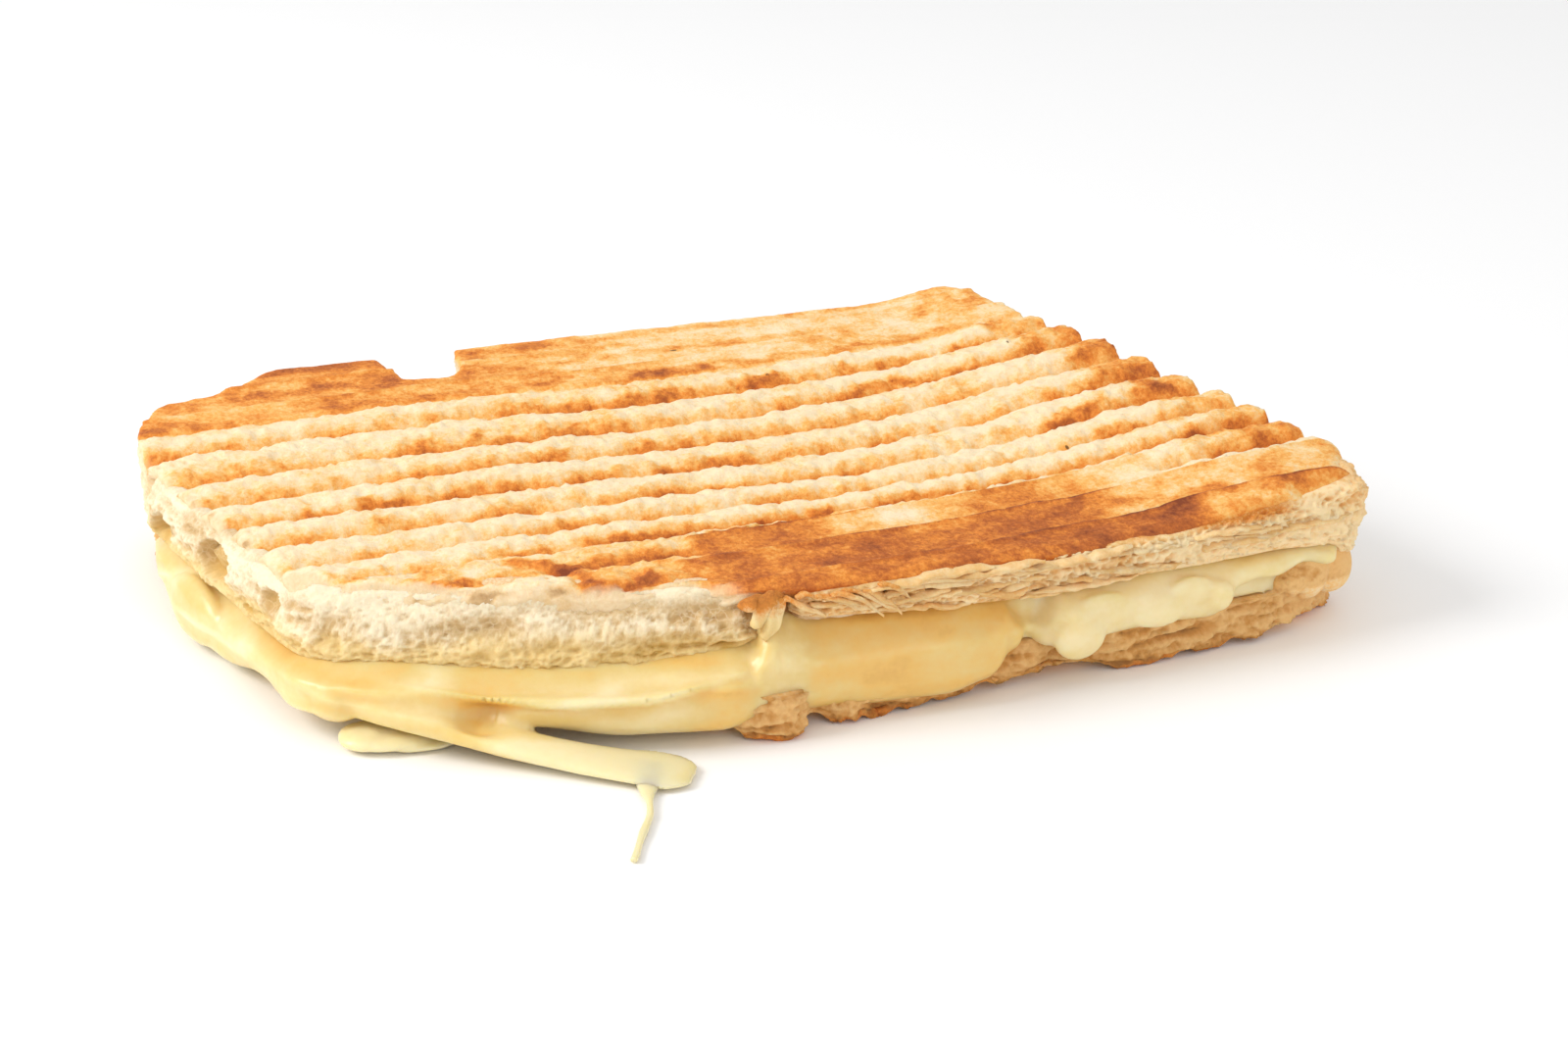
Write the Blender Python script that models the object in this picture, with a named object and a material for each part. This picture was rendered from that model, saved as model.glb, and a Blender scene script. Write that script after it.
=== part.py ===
"""Grilled cheese sandwich, ridge-pressed, lying on its flat underside.

Metres, +Z up, the front long side faces -Y.  The origin is the middle of the
underside on the ground.  Four solids: the two slices of bread, the molten
cheese that runs through between them and out at the front and left, and one
loose piece of cheese at the front left corner.
"""
import math
import bpy
import bmesh
from mathutils import Vector

MM = 0.001
NAME = "grilled_cheese_sandwich"

# ---- driving sizes, millimetres -------------------------------------------
PITCH = 9.5               # ridge to ridge of the press
TOP_FIRST = 48.5          # y of the backmost ridge of the top slice
ROWS = 12                 # ridges on the top
GROOVE = 2.5              # depth of the grooves on the top
GROOVE_BACK = 1.2         # the two backmost and the frontmost grooves are shallow
TOP_Z = 20.0              # height of the ridges of the top slice
SAG = 1.6                 # the top dips in the middle
LIFT = 3.0                # the right end of the top stands up
UNDER_LEFT = 9.6          # underside of the top slice, left part
UNDER_RIGHT = 12.9        # underside of the top slice, right part
BASE_TOP = 6.3            # upper face of the bottom slice
BASE_GROOVE = 1.8         # grooves under the bottom slice
FLAT = 1.5                # half width of the flat ridges it rests on
GAP = 0.3                 # clear space between bread and cheese
X_STEPS = 20

# outline of the loaf seen from above: (x, y, corner radius), clockwise
LOAF = [(-75.5, 24, 14), (-73.5, 38, 4), (-68, 48.2, 3), (-57.5, 50.0, 3),
        (-48.5, 58.4, 4), (70.5, 53.8, 4), (79.4, -42, 5), (76.6, -54.0, 6),
        (40, -56.5, 25), (-12, -53.5, 12), (-46.5, -42.0, 12),
        (-68.2, -30.0, 7), (-70.5, -14, 10)]
# the bottom slice is a little shorter at the front left
BASE = [(-73.0, 24, 14), (-72.0, 38, 4), (-67, 47.5, 3), (-57.0, 49.0, 3),
        (-48.0, 57.0, 4), (70.5, 53.0, 5), (78.6, -38, 6), (79.0, -46, 5),
        (66.0, -54.2, 6), (38.5, -56.0, 1.5), (30, -53.6, 3), (6.0, -55.0, 4),
        (-6.0, -56.2, 3), (-9.5, -52.6, 2), (-12.2, -57.6, 2.4),
        (-18.0, -56.6, 3), (-24.0, -49.0, 4), (-46.0, -38.0, 12),
        (-64.5, -27.0, 7), (-68.0, -12, 10)]
NOTCH = dict(x0=-30.6, x1=-20.4, y=44.6, flare=2.6)      # chip out of the back edge
TEAR = dict(x=-13.4, y=-56.5, wide=3.2, deep=5.0)        # tear in the front crust


def clamp(v, a=0.0, b=1.0):
    return max(a, min(b, v))


def smooth(v, a, b):
    t = clamp((v - a) / (b - a))
    return t * t * (3 - 2 * t)


def bell(v, mid, half):
    return math.exp(-((v - mid) / half) ** 2)


def rounded(corners, step=4.0, arc=4):
    """Closed outline: every corner rounded by its own radius, long runs split."""
    n = len(corners)
    pts = []
    for i, (x, y, r) in enumerate(corners):
        p = Vector((x, y))
        a = Vector(corners[i - 1][:2]) - p
        b = Vector(corners[(i + 1) % n][:2]) - p
        ca, cb = min(r, a.length * 0.48), min(r, b.length * 0.48)
        s, e = p + a.normalized() * ca, p + b.normalized() * cb
        for k in range(arc + 1):
            t = k / arc
            pts.append(s * (1 - t) ** 2 + p * 2 * t * (1 - t) + e * t * t)
    out = []
    for i, p in enumerate(pts):
        q = pts[(i + 1) % len(pts)]
        d = (q - p).length
        if d < 0.25:
            continue
        m = max(1, round(d / step))
        out += [p.lerp(q, k / m) for k in range(m)]
    return out


def normals(loop):
    """Outward normals of a clockwise outline."""
    out = []
    for i in range(len(loop)):
        d = loop[(i + 1) % len(loop)] - loop[i - 1]
        out.append(Vector((-d.y, d.x)).normalized())
    return out


def signed_area(loop):
    return sum(loop[i - 1].x * p.y - p.x * loop[i - 1].y for i, p in enumerate(loop)) / 2


def lift(x, y):
    front = 1 - 0.35 * smooth(y, 15, 40)
    start = 36 + 18 * smooth(y, 15, 40)
    return LIFT * front * smooth(x, start, 70)


def top_height(x, y):
    row = (TOP_FIRST - y) / PITCH
    depth = GROOVE
    if row < 2 or row > 9.5:
        depth = GROOVE_BACK
    wave = depth * (0.5 - 0.5 * math.cos(2 * math.pi * row)) ** 0.8
    sag = SAG * bell(x, 12, 38) * bell(y, -4, 34)
    return TOP_Z - sag + lift(x, y) - wave


def under_height(x):
    return UNDER_LEFT + (UNDER_RIGHT - UNDER_LEFT) * smooth(x, -28, 12)


def base_height(y):
    """Underside of the bottom slice: flat ridges on the ground, grooves between."""
    t = abs(((y / PITCH + 0.5) % 1.0) - 0.5) * PITCH
    return BASE_GROOVE * smooth(t, FLAT, PITCH / 2)


# ---- scene helpers ---------------------------------------------------------
for o in list(bpy.data.objects):
    bpy.data.objects.remove(o, do_unlink=True)
parts = bpy.data.collections.new(NAME)
cutters = bpy.data.collections.new("cutters")
bpy.context.scene.collection.children.link(parts)
bpy.context.scene.collection.children.link(cutters)


def material(name, rgb, rough):
    m = bpy.data.materials.new(name)
    m.use_nodes = True
    p = m.node_tree.nodes["Principled BSDF"]
    p.inputs["Base Color"].default_value = (*rgb, 1)
    p.inputs["Roughness"].default_value = rough
    return m


CRUST = material("toasted_bread", (0.80, 0.47, 0.17), 0.8)
CRUMB = material("toasted_crumb", (0.74, 0.45, 0.20), 0.85)
CHEESE = material("molten_cheese", (0.87, 0.74, 0.27), 0.35)


def finish(name, bm, mat, coll=parts, at=(0, 0, 0)):
    """Mesh (millimetres) -> object (metres) with its origin at `at`."""
    bmesh.ops.recalc_face_normals(bm, faces=bm.faces)
    for v in bm.verts:
        v.co = (v.co - Vector(at)) * MM
    me = bpy.data.meshes.new(name)
    bm.to_mesh(me)
    bm.free()
    ob = bpy.data.objects.new(name, me)
    ob.location = Vector(at) * MM
    coll.objects.link(ob)
    if mat:
        me.materials.append(mat)
    if coll is cutters:
        ob.hide_render = True
        ob.display_type = "WIRE"
    return ob


def boolean(ob, other, how):
    m = ob.modifiers.new(how.lower() + "_" + other.name, "BOOLEAN")
    m.operation = how
    m.solver = "EXACT"
    m.object = other


def bake(ob, merge=0.00008):
    """Apply the modifiers and weld what they left."""
    dg = bpy.context.evaluated_depsgraph_get()
    me = bpy.data.meshes.new_from_object(ob.evaluated_get(dg))
    bm = bmesh.new()
    bm.from_mesh(me)
    bmesh.ops.remove_doubles(bm, verts=bm.verts, dist=merge)
    bmesh.ops.dissolve_degenerate(bm, dist=0.00002, edges=bm.edges)
    bmesh.ops.recalc_face_normals(bm, faces=bm.faces)
    bm.to_mesh(me)
    bm.free()
    ob.modifiers.clear()
    ob.data = me
    return ob


def shell(name, loop, levels, mat=None, coll=cutters):
    """Stack of outlines; each level is (z, how far in from the outline)."""
    if signed_area(loop) > 0:
        loop = loop[::-1]
    nor = normals(loop)
    bm = bmesh.new()
    rings = []
    for z, inset in levels:
        rings.append([bm.verts.new((p.x - n.x * inset, p.y - n.y * inset, z))
                      for p, n in zip(loop, nor)])
    for a, b in zip(rings, rings[1:]):
        for i in range(len(loop)):
            j = (i + 1) % len(loop)
            bm.faces.new((a[i], a[j], b[j], b[i]))
    bm.faces.new(rings[0])
    bm.faces.new(rings[-1])
    return finish(name, bm, mat, coll)


def plate(name, ys, top, bottom, across_top, mat, steps=X_STEPS):
    """Ridged slab over the whole area: one face row per x step, closed round.
    `across_top` says whether the ridges are on the upper face."""
    xs = [-82 + 166 * i / steps for i in range(steps + 1)]
    bm = bmesh.new()
    up, dn = {}, {}
    for i, x in enumerate(xs):
        for j, y in enumerate(ys):
            edge = j in (0, len(ys) - 1)
            if across_top or edge:
                up[i, j] = bm.verts.new((x, y, top(x, y)))
            if not across_top or edge:
                dn[i, j] = bm.verts.new((x, y, bottom(x, y)))
    last = len(ys) - 1
    fine, plain = (up, dn) if across_top else (dn, up)
    for i in range(steps):
        for j in range(last):
            bm.faces.new((fine[i, j], fine[i + 1, j], fine[i + 1, j + 1], fine[i, j + 1]))
        bm.faces.new((plain[i, 0], plain[i + 1, 0], plain[i + 1, last], plain[i, last]))
        for j in (0, last):
            bm.faces.new((up[i, j], up[i + 1, j], dn[i + 1, j], dn[i, j]))
    for i in (0, steps):
        bm.faces.new([fine[i, j] for j in range(last + 1)] + [plain[i, last], plain[i, 0]])
    return finish(name, bm, mat)


# ---- top slice ---------------------------------------------------------------
loaf = rounded(LOAF)
ys = [TOP_FIRST + PITCH * 1.25 - PITCH * k / 6 for k in range(int(6 * (ROWS + 2.2)))]
top_slice = plate("top_slice", ys, top_height, lambda x, y: under_height(x), True, CRUST)
blank = shell("loaf_block", loaf, [(7, 1.6), (11, 0.6), (14.5, 0), (17.5, 0.3), (19.6, 1.2), (22, 2.4), (27, 4.0)])
notch = shell("notch_cut", [Vector((NOTCH["x0"], NOTCH["y"] + 1.2)), Vector((NOTCH["x0"] + 1.5, NOTCH["y"])),
                            Vector((NOTCH["x1"] - 3, NOTCH["y"] - 0.6)), Vector((NOTCH["x1"], NOTCH["y"] + 1.6)),
                            Vector((NOTCH["x1"] + NOTCH["flare"], 63)), Vector((NOTCH["x0"] - 0.6, 63))],
              [(8, 0), (26, 0)])
tear = shell("tear_cut", [Vector((TEAR["x"] - 1.2, TEAR["y"] + TEAR["deep"])), Vector((TEAR["x"] + 0.6, TEAR["y"] + TEAR["deep"] - 1)),
                          Vector((TEAR["x"] + TEAR["wide"], TEAR["y"] - 4)), Vector((TEAR["x"] - TEAR["wide"] * 0.4, TEAR["y"] - 4))],
             [(8, -0.4), (26, 0)])
boolean(top_slice, blank, "INTERSECT")
boolean(top_slice, notch, "DIFFERENCE")
boolean(top_slice, tear, "DIFFERENCE")
bake(top_slice)

# ---- bottom slice --------------------------------------------------------------
base = rounded(BASE)
offs = [-PITCH / 2, -3.1, -FLAT, FLAT, 3.1]
ys = sorted({round(PITCH * r + o, 4) for r in range(-7, 8) for o in offs})
bottom_slice = plate("bottom_slice", ys, lambda x, y: BASE_TOP, lambda x, y: base_height(y), False, CRUMB, 1)
block = shell("base_block", base, [(-2, 0.8), (0.6, 0.5), (2.2, 0), (4.5, 0.1), (6.0, 0.6), (9, 0.8)])
boolean(bottom_slice, block, "INTERSECT")
bake(bottom_slice)

# ---- molten cheese -------------------------------------------------------------
# Stations round the loaf: where (x, y), how far it bulges out, and how far up and
# down it spreads over the sides of the bread.  Between stations it runs smoothly.
STATIONS = [((-60, 52), -1.2, 0, 0), ((0, 56), -1.2, 0, 0), ((71, 50), -1.2, 0, 0),
            ((77, -20), -1.2, 0, 0), ((79, -42), -2.4, 0, 0),
            ((73, -54.5), -2.0, 0, 0), ((67, -55), 1.0, 12.8, 7.6), ((60, -55.5), 1.5, 13.0, 5.6), ((50, -56), 2.0, 13.2, 5.2),
            ((42, -56.3), 1.7, 13.4, 5.4), ((30, -56.2), 2.6, 13.6, 3.4), ((26, -56), 2.4, 13.6, 3.6),
            ((23, -56), 0.7, 13.2, 8.0), ((20, -56), 1.8, 13.0, 5.0), ((14, -55.5), 2.4, 13.6, 1.6),
            ((0, -55), 2.6, 14.2, 1.2), ((-9, -54), 3.0, 14.0, 2.6), ((-14, -53), 3.6, 14.5, 2.4),
            ((-20, -51), 4.6, 12.6, 1.4), ((-32, -47), 5.2, 10.6, 0.9), ((-46, -42), 5.0, 9.8, 1.0),
            ((-58, -35.5), 4.2, 9.6, 1.2), ((-67.5, -30), 3.0, 9.6, 1.4), ((-70, -20), 1.6, 9.4, 3.2),
            ((-72, -6), 2.2, 9.6, 0.8), ((-74.5, 8), 2.6, 10.4, 0.6), ((-75.5, 17), 2.0, 11.0, 3.4),
            ((-75.2, 24), 0.6, 9.6, 5.2), ((-73, 36), -1.0, 0, 0)]


def along(loop):
    """Running length of every point of the outline."""
    d = [0.0]
    for a, b in zip(loop, loop[1:]):
        d.append(d[-1] + (b - a).length)
    return d, d[-1] + (loop[0] - loop[-1]).length


def spread(loop):
    """Bulge, upper and lower reach for every point of the outline."""
    run, total = along(loop)
    keys = []
    for (x, y), out, hi, lo in STATIONS:
        near = min(range(len(loop)), key=lambda i: (loop[i] - Vector((x, y))).length)
        keys.append((run[near], out, hi, lo))
    keys.sort()
    keys = [(keys[-1][0] - total, *keys[-1][1:])] + keys + [(keys[0][0] + total, *keys[0][1:])]
    res = []
    for d, p in zip(run, loop):
        for a, b in zip(keys, keys[1:]):
            if a[0] <= d <= b[0]:
                t = smooth(d, a[0], b[0]) if b[0] > a[0] else 0
                seam_hi, seam_lo = under_height(p.x) - GAP, BASE_TOP + GAP
                hi = [k[2] or seam_hi for k in (a, b)]
                lo = [k[3] or seam_lo for k in (a, b)]
                res.append((a[1] + (b[1] - a[1]) * t, hi[0] + (hi[1] - hi[0]) * t, lo[0] + (lo[1] - lo[0]) * t))
                break
    return res


ring = rounded(LOAF, step=3.2)
if signed_area(ring) > 0:
    ring = ring[::-1]
nor = normals(ring)
bm = bmesh.new()
rows = []
for p, n, (out, hi, lo) in zip(ring, nor, spread(ring)):
    top, low = under_height(p.x) + 0.25, BASE_TOP + GAP
    reach = max(out, 0.0)
    skin = 0.45 if out > 0.3 else min(out, 0)
    hi, lo = max(hi, top), min(lo, low)
    mid = (hi + lo) / 2
    section = [(-5.0, top), (min(skin, out), top), (min(skin, out) if out > 0.3 else out - 0.1, max(hi - 0.4, top + 0.01) if out > 0.3 else top - 0.25),
               (skin + (reach - skin) * 0.55 if out > 0.3 else out, hi - 0.9 if out > 0.3 else top - 0.6),
               (out, mid + (hi - mid) * 0.25),
               (out * 0.97 if out > 0 else out, mid - (mid - lo) * 0.45),
               (skin + (reach - skin) * 0.6 if out > 0.3 else out, lo + 0.35 if out > 0.3 else low + 0.6),
               (min(skin, out) if out > 0.3 else out - 0.1, min(lo + 0.3, low - 0.01) if out > 0.3 else low + 0.25),
               (min(skin, out), low), (-5.0, low)]
    rows.append([bm.verts.new((p.x + n.x * o, p.y + n.y * o, z)) for o, z in section])
for i in range(len(rows)):
    a, b = rows[i], rows[(i + 1) % len(rows)]
    for k in range(len(a) - 1):
        bm.faces.new((a[k], a[k + 1], b[k + 1], b[k]))
# the two broad faces: strips straight across between the outline points
for k in (0, len(rows[0]) - 1):
    bmesh.ops.triangle_fill(bm, use_beauty=True, edges=[
        bm.edges.get((rows[i][k], rows[(i + 1) % len(rows)][k])) for i in range(len(rows))])
cheese = finish("cheese", bm, CHEESE)


def strand(name, path, sides=8):
    """Flattened strand: path of (x, y, z, half width, half height)."""
    bm = bmesh.new()
    prev = None
    first = None
    for i, (x, y, z, w, h) in enumerate(path):
        a, b = path[max(i - 1, 0)], path[min(i + 1, len(path) - 1)]
        d = Vector((b[0] - a[0], b[1] - a[1], 0)).normalized()
        s = Vector((-d.y, d.x, 0))
        ringv = []
        for k in range(sides):
            t = 2 * math.pi * k / sides
            ringv.append(bm.verts.new(Vector((x, y, z)) + s * (w * math.cos(t)) + Vector((0, 0, h * math.sin(t)))))
        if prev:
            for k in range(sides):
                j = (k + 1) % sides
                bm.faces.new((prev[k], prev[j], ringv[j], ringv[k]))
        else:
            first = ringv
        prev = ringv
    bm.faces.new(first)
    bm.faces.new(prev)
    return finish(name, bm, None, cutters)


# broad ribbon drawn out of the bulge down to the ground, with a thin string at its end
ribbon = strand("ribbon", [(-55.5, -38.6, 5.6, 1.2, 0.9), (-52.5, -42.0, 4.8, 1.7, 1.0), (-49.5, -46.2, 3.6, 2.0, 1.0),
                           (-45.5, -50.2, 2.3, 2.2, 0.9), (-41.0, -54.0, 1.4, 2.7, 0.8), (-36.5, -57.6, 0.9, 3.7, 0.7),
                           (-33.0, -60.2, 0.7, 3.9, 0.6), (-30.0, -61.8, 0.55, 2.2, 0.45)])
string = strand("string", [(-35.0, -57.5, 0.8, 1.6, 0.5), (-36.3, -61.5, 0.7, 1.3, 0.5), (-37.6, -65.5, 0.6, 0.7, 0.45),
                           (-39.2, -69.5, 0.55, 0.5, 0.42), (-41.6, -73.0, 0.5, 0.42, 0.4), (-43.4, -76.2, 0.45, 0.42, 0.38),
                           (-44.8, -79.2, 0.4, 0.5, 0.35)])
boolean(cheese, ribbon, "UNION")
boolean(cheese, string, "UNION")
clear = shell("base_clear", base, [(-2, -0.35), (BASE_TOP + 0.28, -0.35)])      # room for the bottom slice
boolean(cheese, clear, "DIFFERENCE")
over = plate("loaf_clear", [-62.0, 62.0], lambda x, y: 30.0, lambda x, y: under_height(x) - GAP, False, None)
parts.objects.unlink(over)
cutters.objects.link(over)
over.hide_render = True
over.display_type = "WIRE"
boolean(over, shell("loaf_room", loaf, [(5, -0.35), (29, -0.35)]), "INTERSECT")
bake(over)
bake(cheese)
boolean(cheese, over, "DIFFERENCE")
bake(cheese)

# ---- loose piece of cheese at the front left corner -------------------------------
bm = bmesh.new()
tip = [Vector(p) for p in ((-65.2, -36.4), (-67.0, -39.2), (-64.6, -42.0), (-60.0, -43.4), (-55.4, -42.8),
                           (-53.6, -41.6), (-56.8, -41.2), (-60.5, -39.6), (-63.2, -37.2))]
mid = sum(tip, Vector((0, 0))) / len(tip)
layers = [(0.15, 0.93), (0.8, 1.0), (1.6, 0.97), (2.3, 0.72)]
rings = [[bm.verts.new((mid.x + (p.x - mid.x) * s, mid.y + (p.y - mid.y) * s, z + 0.5 * clamp((p.y + 43) / 6) * (z > 1)))
          for p in tip] for z, s in layers]
for a, b in zip(rings, rings[1:]):
    for i in range(len(tip)):
        j = (i + 1) % len(tip)
        bm.faces.new((a[i], a[j], b[j], b[i]))
bm.faces.new(rings[0])
bm.faces.new(rings[-1])
flap = finish("cheese_flap", bm, CHEESE)

for ob in (top_slice, bottom_slice, cheese, flap):
    for poly in ob.data.polygons:
        poly.use_smooth = False
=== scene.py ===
"""Grilled cheese sandwich: two ridge-pressed slices of white bread with molten cheese.

Lengths are worked in millimetres and written to the meshes in metres.
"""
import math
import bpy
import numpy as np
from mathutils import Matrix, Vector


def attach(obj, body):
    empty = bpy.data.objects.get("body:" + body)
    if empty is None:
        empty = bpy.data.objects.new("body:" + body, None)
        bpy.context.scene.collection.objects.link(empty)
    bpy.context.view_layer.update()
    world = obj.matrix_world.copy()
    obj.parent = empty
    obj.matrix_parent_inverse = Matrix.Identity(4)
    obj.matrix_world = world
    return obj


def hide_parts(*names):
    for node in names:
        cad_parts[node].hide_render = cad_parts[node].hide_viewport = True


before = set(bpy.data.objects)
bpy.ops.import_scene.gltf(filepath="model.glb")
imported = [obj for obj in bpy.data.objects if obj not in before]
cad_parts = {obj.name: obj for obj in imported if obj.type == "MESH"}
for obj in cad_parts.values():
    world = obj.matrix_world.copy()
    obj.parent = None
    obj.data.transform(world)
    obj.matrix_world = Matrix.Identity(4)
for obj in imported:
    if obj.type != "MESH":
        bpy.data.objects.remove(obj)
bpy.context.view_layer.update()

MM = 0.001
PITCH = 9.5          # ridge to ridge
FIRST = 48.5         # y of the backmost ridge
TOP = 20.0           # ridge height of the top slice
TOP_FLOOR = 9.0      # where the top slice's block starts
BASE_TOP = 6.3       # height of the lower slice
FLOOR_GAP = 0.03     # cheese on the floor stays this far above it
MOST = {"top": 185000, "base": 120000, "cheese": 165000, "corner": 20000}     # triangles


# ---------------------------------------------------------------- small maths
def smooth(v, a, b):
    t = np.clip((v - a) / (b - a), 0.0, 1.0)
    return t * t * (3 - 2 * t)


def bell(v, mid, half):
    return np.exp(-((v - mid) / half) ** 2)


def scramble(i, seed):
    """Whole-number lattice points to even numbers from 0 to 1."""
    n = (i[..., 0] * 374761393 + i[..., 1] * 668265263 + i[..., 2] * 974634777
         + seed * 1442695041) & 0xFFFFFFFF
    n = ((n ^ (n >> 13)) * 1274126177) & 0xFFFFFFFF
    n = ((n ^ (n >> 16)) * 2246822519) & 0xFFFFFFFF
    return ((n ^ (n >> 15)) & 0xFFFFF) / 1048575.0


def grain(p, size, seed=1):
    """Smooth unevenness from -1 to 1; size is the length of a bump, one number or three."""
    q = p / np.asarray(size, float)
    i = np.floor(q).astype(np.int64)
    f = q - i
    f = f * f * (3 - 2 * f)
    out = np.zeros(len(p))
    for c in range(8):
        o = np.array([c & 1, c >> 1 & 1, c >> 2 & 1])
        w = np.prod(np.where(o, f, 1 - f), axis=1)
        out += w * scramble(i + o, seed)
    return out * 2 - 1


def layers(p, size, seed=1, n=3):
    out, amp, total = np.zeros(len(p)), 1.0, 0.0
    for k in range(n):
        out += amp * grain(p, np.asarray(size, float) / 2 ** k, seed + 7 * k)
        total += amp
        amp *= 0.55
    return out / total


def cells(p, size, seed=1):
    """Distance to the nearest and to the second nearest bubble centre, in cell lengths."""
    q = p / np.asarray(size, float)
    i = np.floor(q).astype(np.int64)
    f = q - i
    d1, d2 = np.full(len(p), 9.0), np.full(len(p), 9.0)
    for x in (-1, 0, 1):
        for y in (-1, 0, 1):
            for z in (-1, 0, 1):
                o = np.array([x, y, z])
                j = i + o
                r = np.stack([scramble(j, seed + s) for s in (0, 31, 62)], 1)
                d = np.linalg.norm(o + 0.1 + 0.8 * r - f, axis=1)
                d2 = np.minimum(d2, np.maximum(d1, d))
                d1 = np.minimum(d1, d)
    return d1, d2


def bubbles(p, size, seed=1, wall=0.16, inside=0.55):
    """0 on the thin walls between bubbles, 1 deep inside one."""
    d1, d2 = cells(p, size, seed)
    return smooth(d2 - d1, wall, inside)


def swayed(p, amount, size):
    """Points pushed about a little, so that bubbles cut from them aren't round."""
    return p + amount * np.column_stack([layers(p, size, seed, 2) for seed in (61, 62, 63)])


def on_plan(x, y):
    """Points on the floor below or above these places."""
    return np.column_stack([x, y, np.zeros_like(x)])


def steep(n, start, full):
    """0 where the surface lies flat, 1 where it stands upright."""
    return smooth(1 - np.abs(n[:, 2]), start, full)


# ---------------------------------------------------------------- outlines
LOAF = [(-75.5, 24, 14), (-73.5, 38, 4), (-68, 48.2, 3), (-57.5, 50.0, 3),
        (-48.5, 58.4, 4), (70.5, 53.8, 4), (79.4, -42, 5), (76.6, -54.0, 6),
        (40, -56.5, 25), (-12, -53.5, 12), (-46.5, -42.0, 12),
        (-68.2, -30.0, 7), (-70.5, -14, 10)]
NOTCHED = (LOAF[:5] + [(-31.0, 57.6, 1), (-30.2, 46.4, 1.2), (-24, 45.0, 2), (-20.6, 47.0, 2),
                       (-18.4, 57.2, 1)] + LOAF[5:])
BASE = [(-73.0, 24, 14), (-72.0, 38, 4), (-67, 47.5, 3), (-57.0, 49.0, 3),
        (-48.0, 57.0, 4), (70.5, 53.0, 5), (78.6, -38, 6), (79.0, -46, 5),
        (66.0, -54.2, 6), (38.5, -56.0, 1.5), (30, -53.6, 3), (6.0, -55.0, 4),
        (-6.0, -56.2, 3), (-9.5, -52.6, 2), (-12.2, -57.6, 2.4),
        (-18.0, -56.6, 3), (-24.0, -49.0, 4), (-46.0, -38.0, 12),
        (-64.5, -27.0, 7), (-68.0, -12, 10)]


def rounded(corners, step=2.0, arc=6):
    """Outline with each corner rounded by its own radius and long runs split."""
    pts, n = [], len(corners)
    for i, (x, y, r) in enumerate(corners):
        p = np.array([x, y], float)
        a, b = np.array(corners[i - 1][:2]) - p, np.array(corners[(i + 1) % n][:2]) - p
        la, lb = np.linalg.norm(a), np.linalg.norm(b)
        s, e = p + a / la * min(r, la * 0.48), p + b / lb * min(r, lb * 0.48)
        for t in np.linspace(0, 1, arc + 1):
            pts.append(s * (1 - t) ** 2 + p * 2 * t * (1 - t) + e * t * t)
    out = []
    for i, p in enumerate(pts):
        q = pts[(i + 1) % len(pts)]
        d = np.linalg.norm(q - p)
        if d < 0.2:
            continue
        m = max(1, round(d / step))
        out += [p + (q - p) * k / m for k in range(m)]
    return np.array(out)


def edge_distance(xy, loop):
    """How far each point is from the outline (it doesn't say on which side)."""
    best = np.full(len(xy), 1e9)
    for a, b in zip(loop, np.roll(loop, -1, 0)):
        ab = b - a
        t = np.clip(((xy - a) @ ab) / max(ab @ ab, 1e-9), 0, 1)
        d = np.linalg.norm(xy - a - t[:, None] * ab, axis=1)
        best = np.minimum(best, d)
    return best


# ---------------------------------------------------------------- mesh helpers
def nothing():
    if bpy.context.object and bpy.context.object.mode != "OBJECT":
        bpy.ops.object.mode_set(mode="OBJECT")
    bpy.ops.object.select_all(action="DESELECT")


def only(ob):
    nothing()
    ob.select_set(True)
    bpy.context.view_layer.objects.active = ob


def added(name):
    ob = bpy.context.object
    ob.name = ob.data.name = name
    return ob


def points(ob):
    a = np.empty(len(ob.data.vertices) * 3, np.float32)
    ob.data.vertices.foreach_get("co", a)
    return a.reshape(-1, 3).astype(float) / MM


def place(ob, p):
    ob.data.vertices.foreach_set("co", (p * MM).astype(np.float32).ravel())
    ob.data.update()


def facing(ob):
    a = np.empty(len(ob.data.vertices) * 3, np.float32)
    ob.data.vertex_normals.foreach_get("vector", a)
    return a.reshape(-1, 3).astype(float)


def mark(ob, name, v):
    a = ob.data.attributes.get(name) or ob.data.attributes.new(name, "FLOAT", "POINT")
    a.data.foreach_set("value", np.asarray(v, np.float32))


def modify(ob, kind, **values):
    only(ob)
    m = ob.modifiers.new(kind.lower(), kind)
    for k, v in values.items():
        setattr(m, k, v)
    bpy.ops.object.modifier_apply(modifier=m.name)


def remesh(ob, fine, quick=None):
    modify(ob, "REMESH", mode="VOXEL", voxel_size=(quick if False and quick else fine) * MM)


def together(first, *others, name=None):
    """Join pieces into the first one."""
    nothing()
    for o in others:
        o.select_set(True)
    first.select_set(True)
    bpy.context.view_layer.objects.active = first
    bpy.ops.object.join()
    return added(name or first.name)


def thin_out(ob, most):
    """Collapse flat places until the piece has at most this many triangles."""
    n = sum(len(f.vertices) - 2 for f in ob.data.polygons)
    if n > most:
        modify(ob, "DECIMATE", ratio=most / n)


def blob(at, size, turn=0.0):
    nothing()
    bpy.ops.mesh.primitive_uv_sphere_add(segments=24, ring_count=14, radius=1.0)
    ob = bpy.context.object
    c, s = math.cos(turn), math.sin(turn)
    q = points(ob) * MM * np.array(size)
    place(ob, np.column_stack([q[:, 0] * c - q[:, 1] * s, q[:, 0] * s + q[:, 1] * c, q[:, 2]])
          + np.array(at))
    return ob


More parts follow.
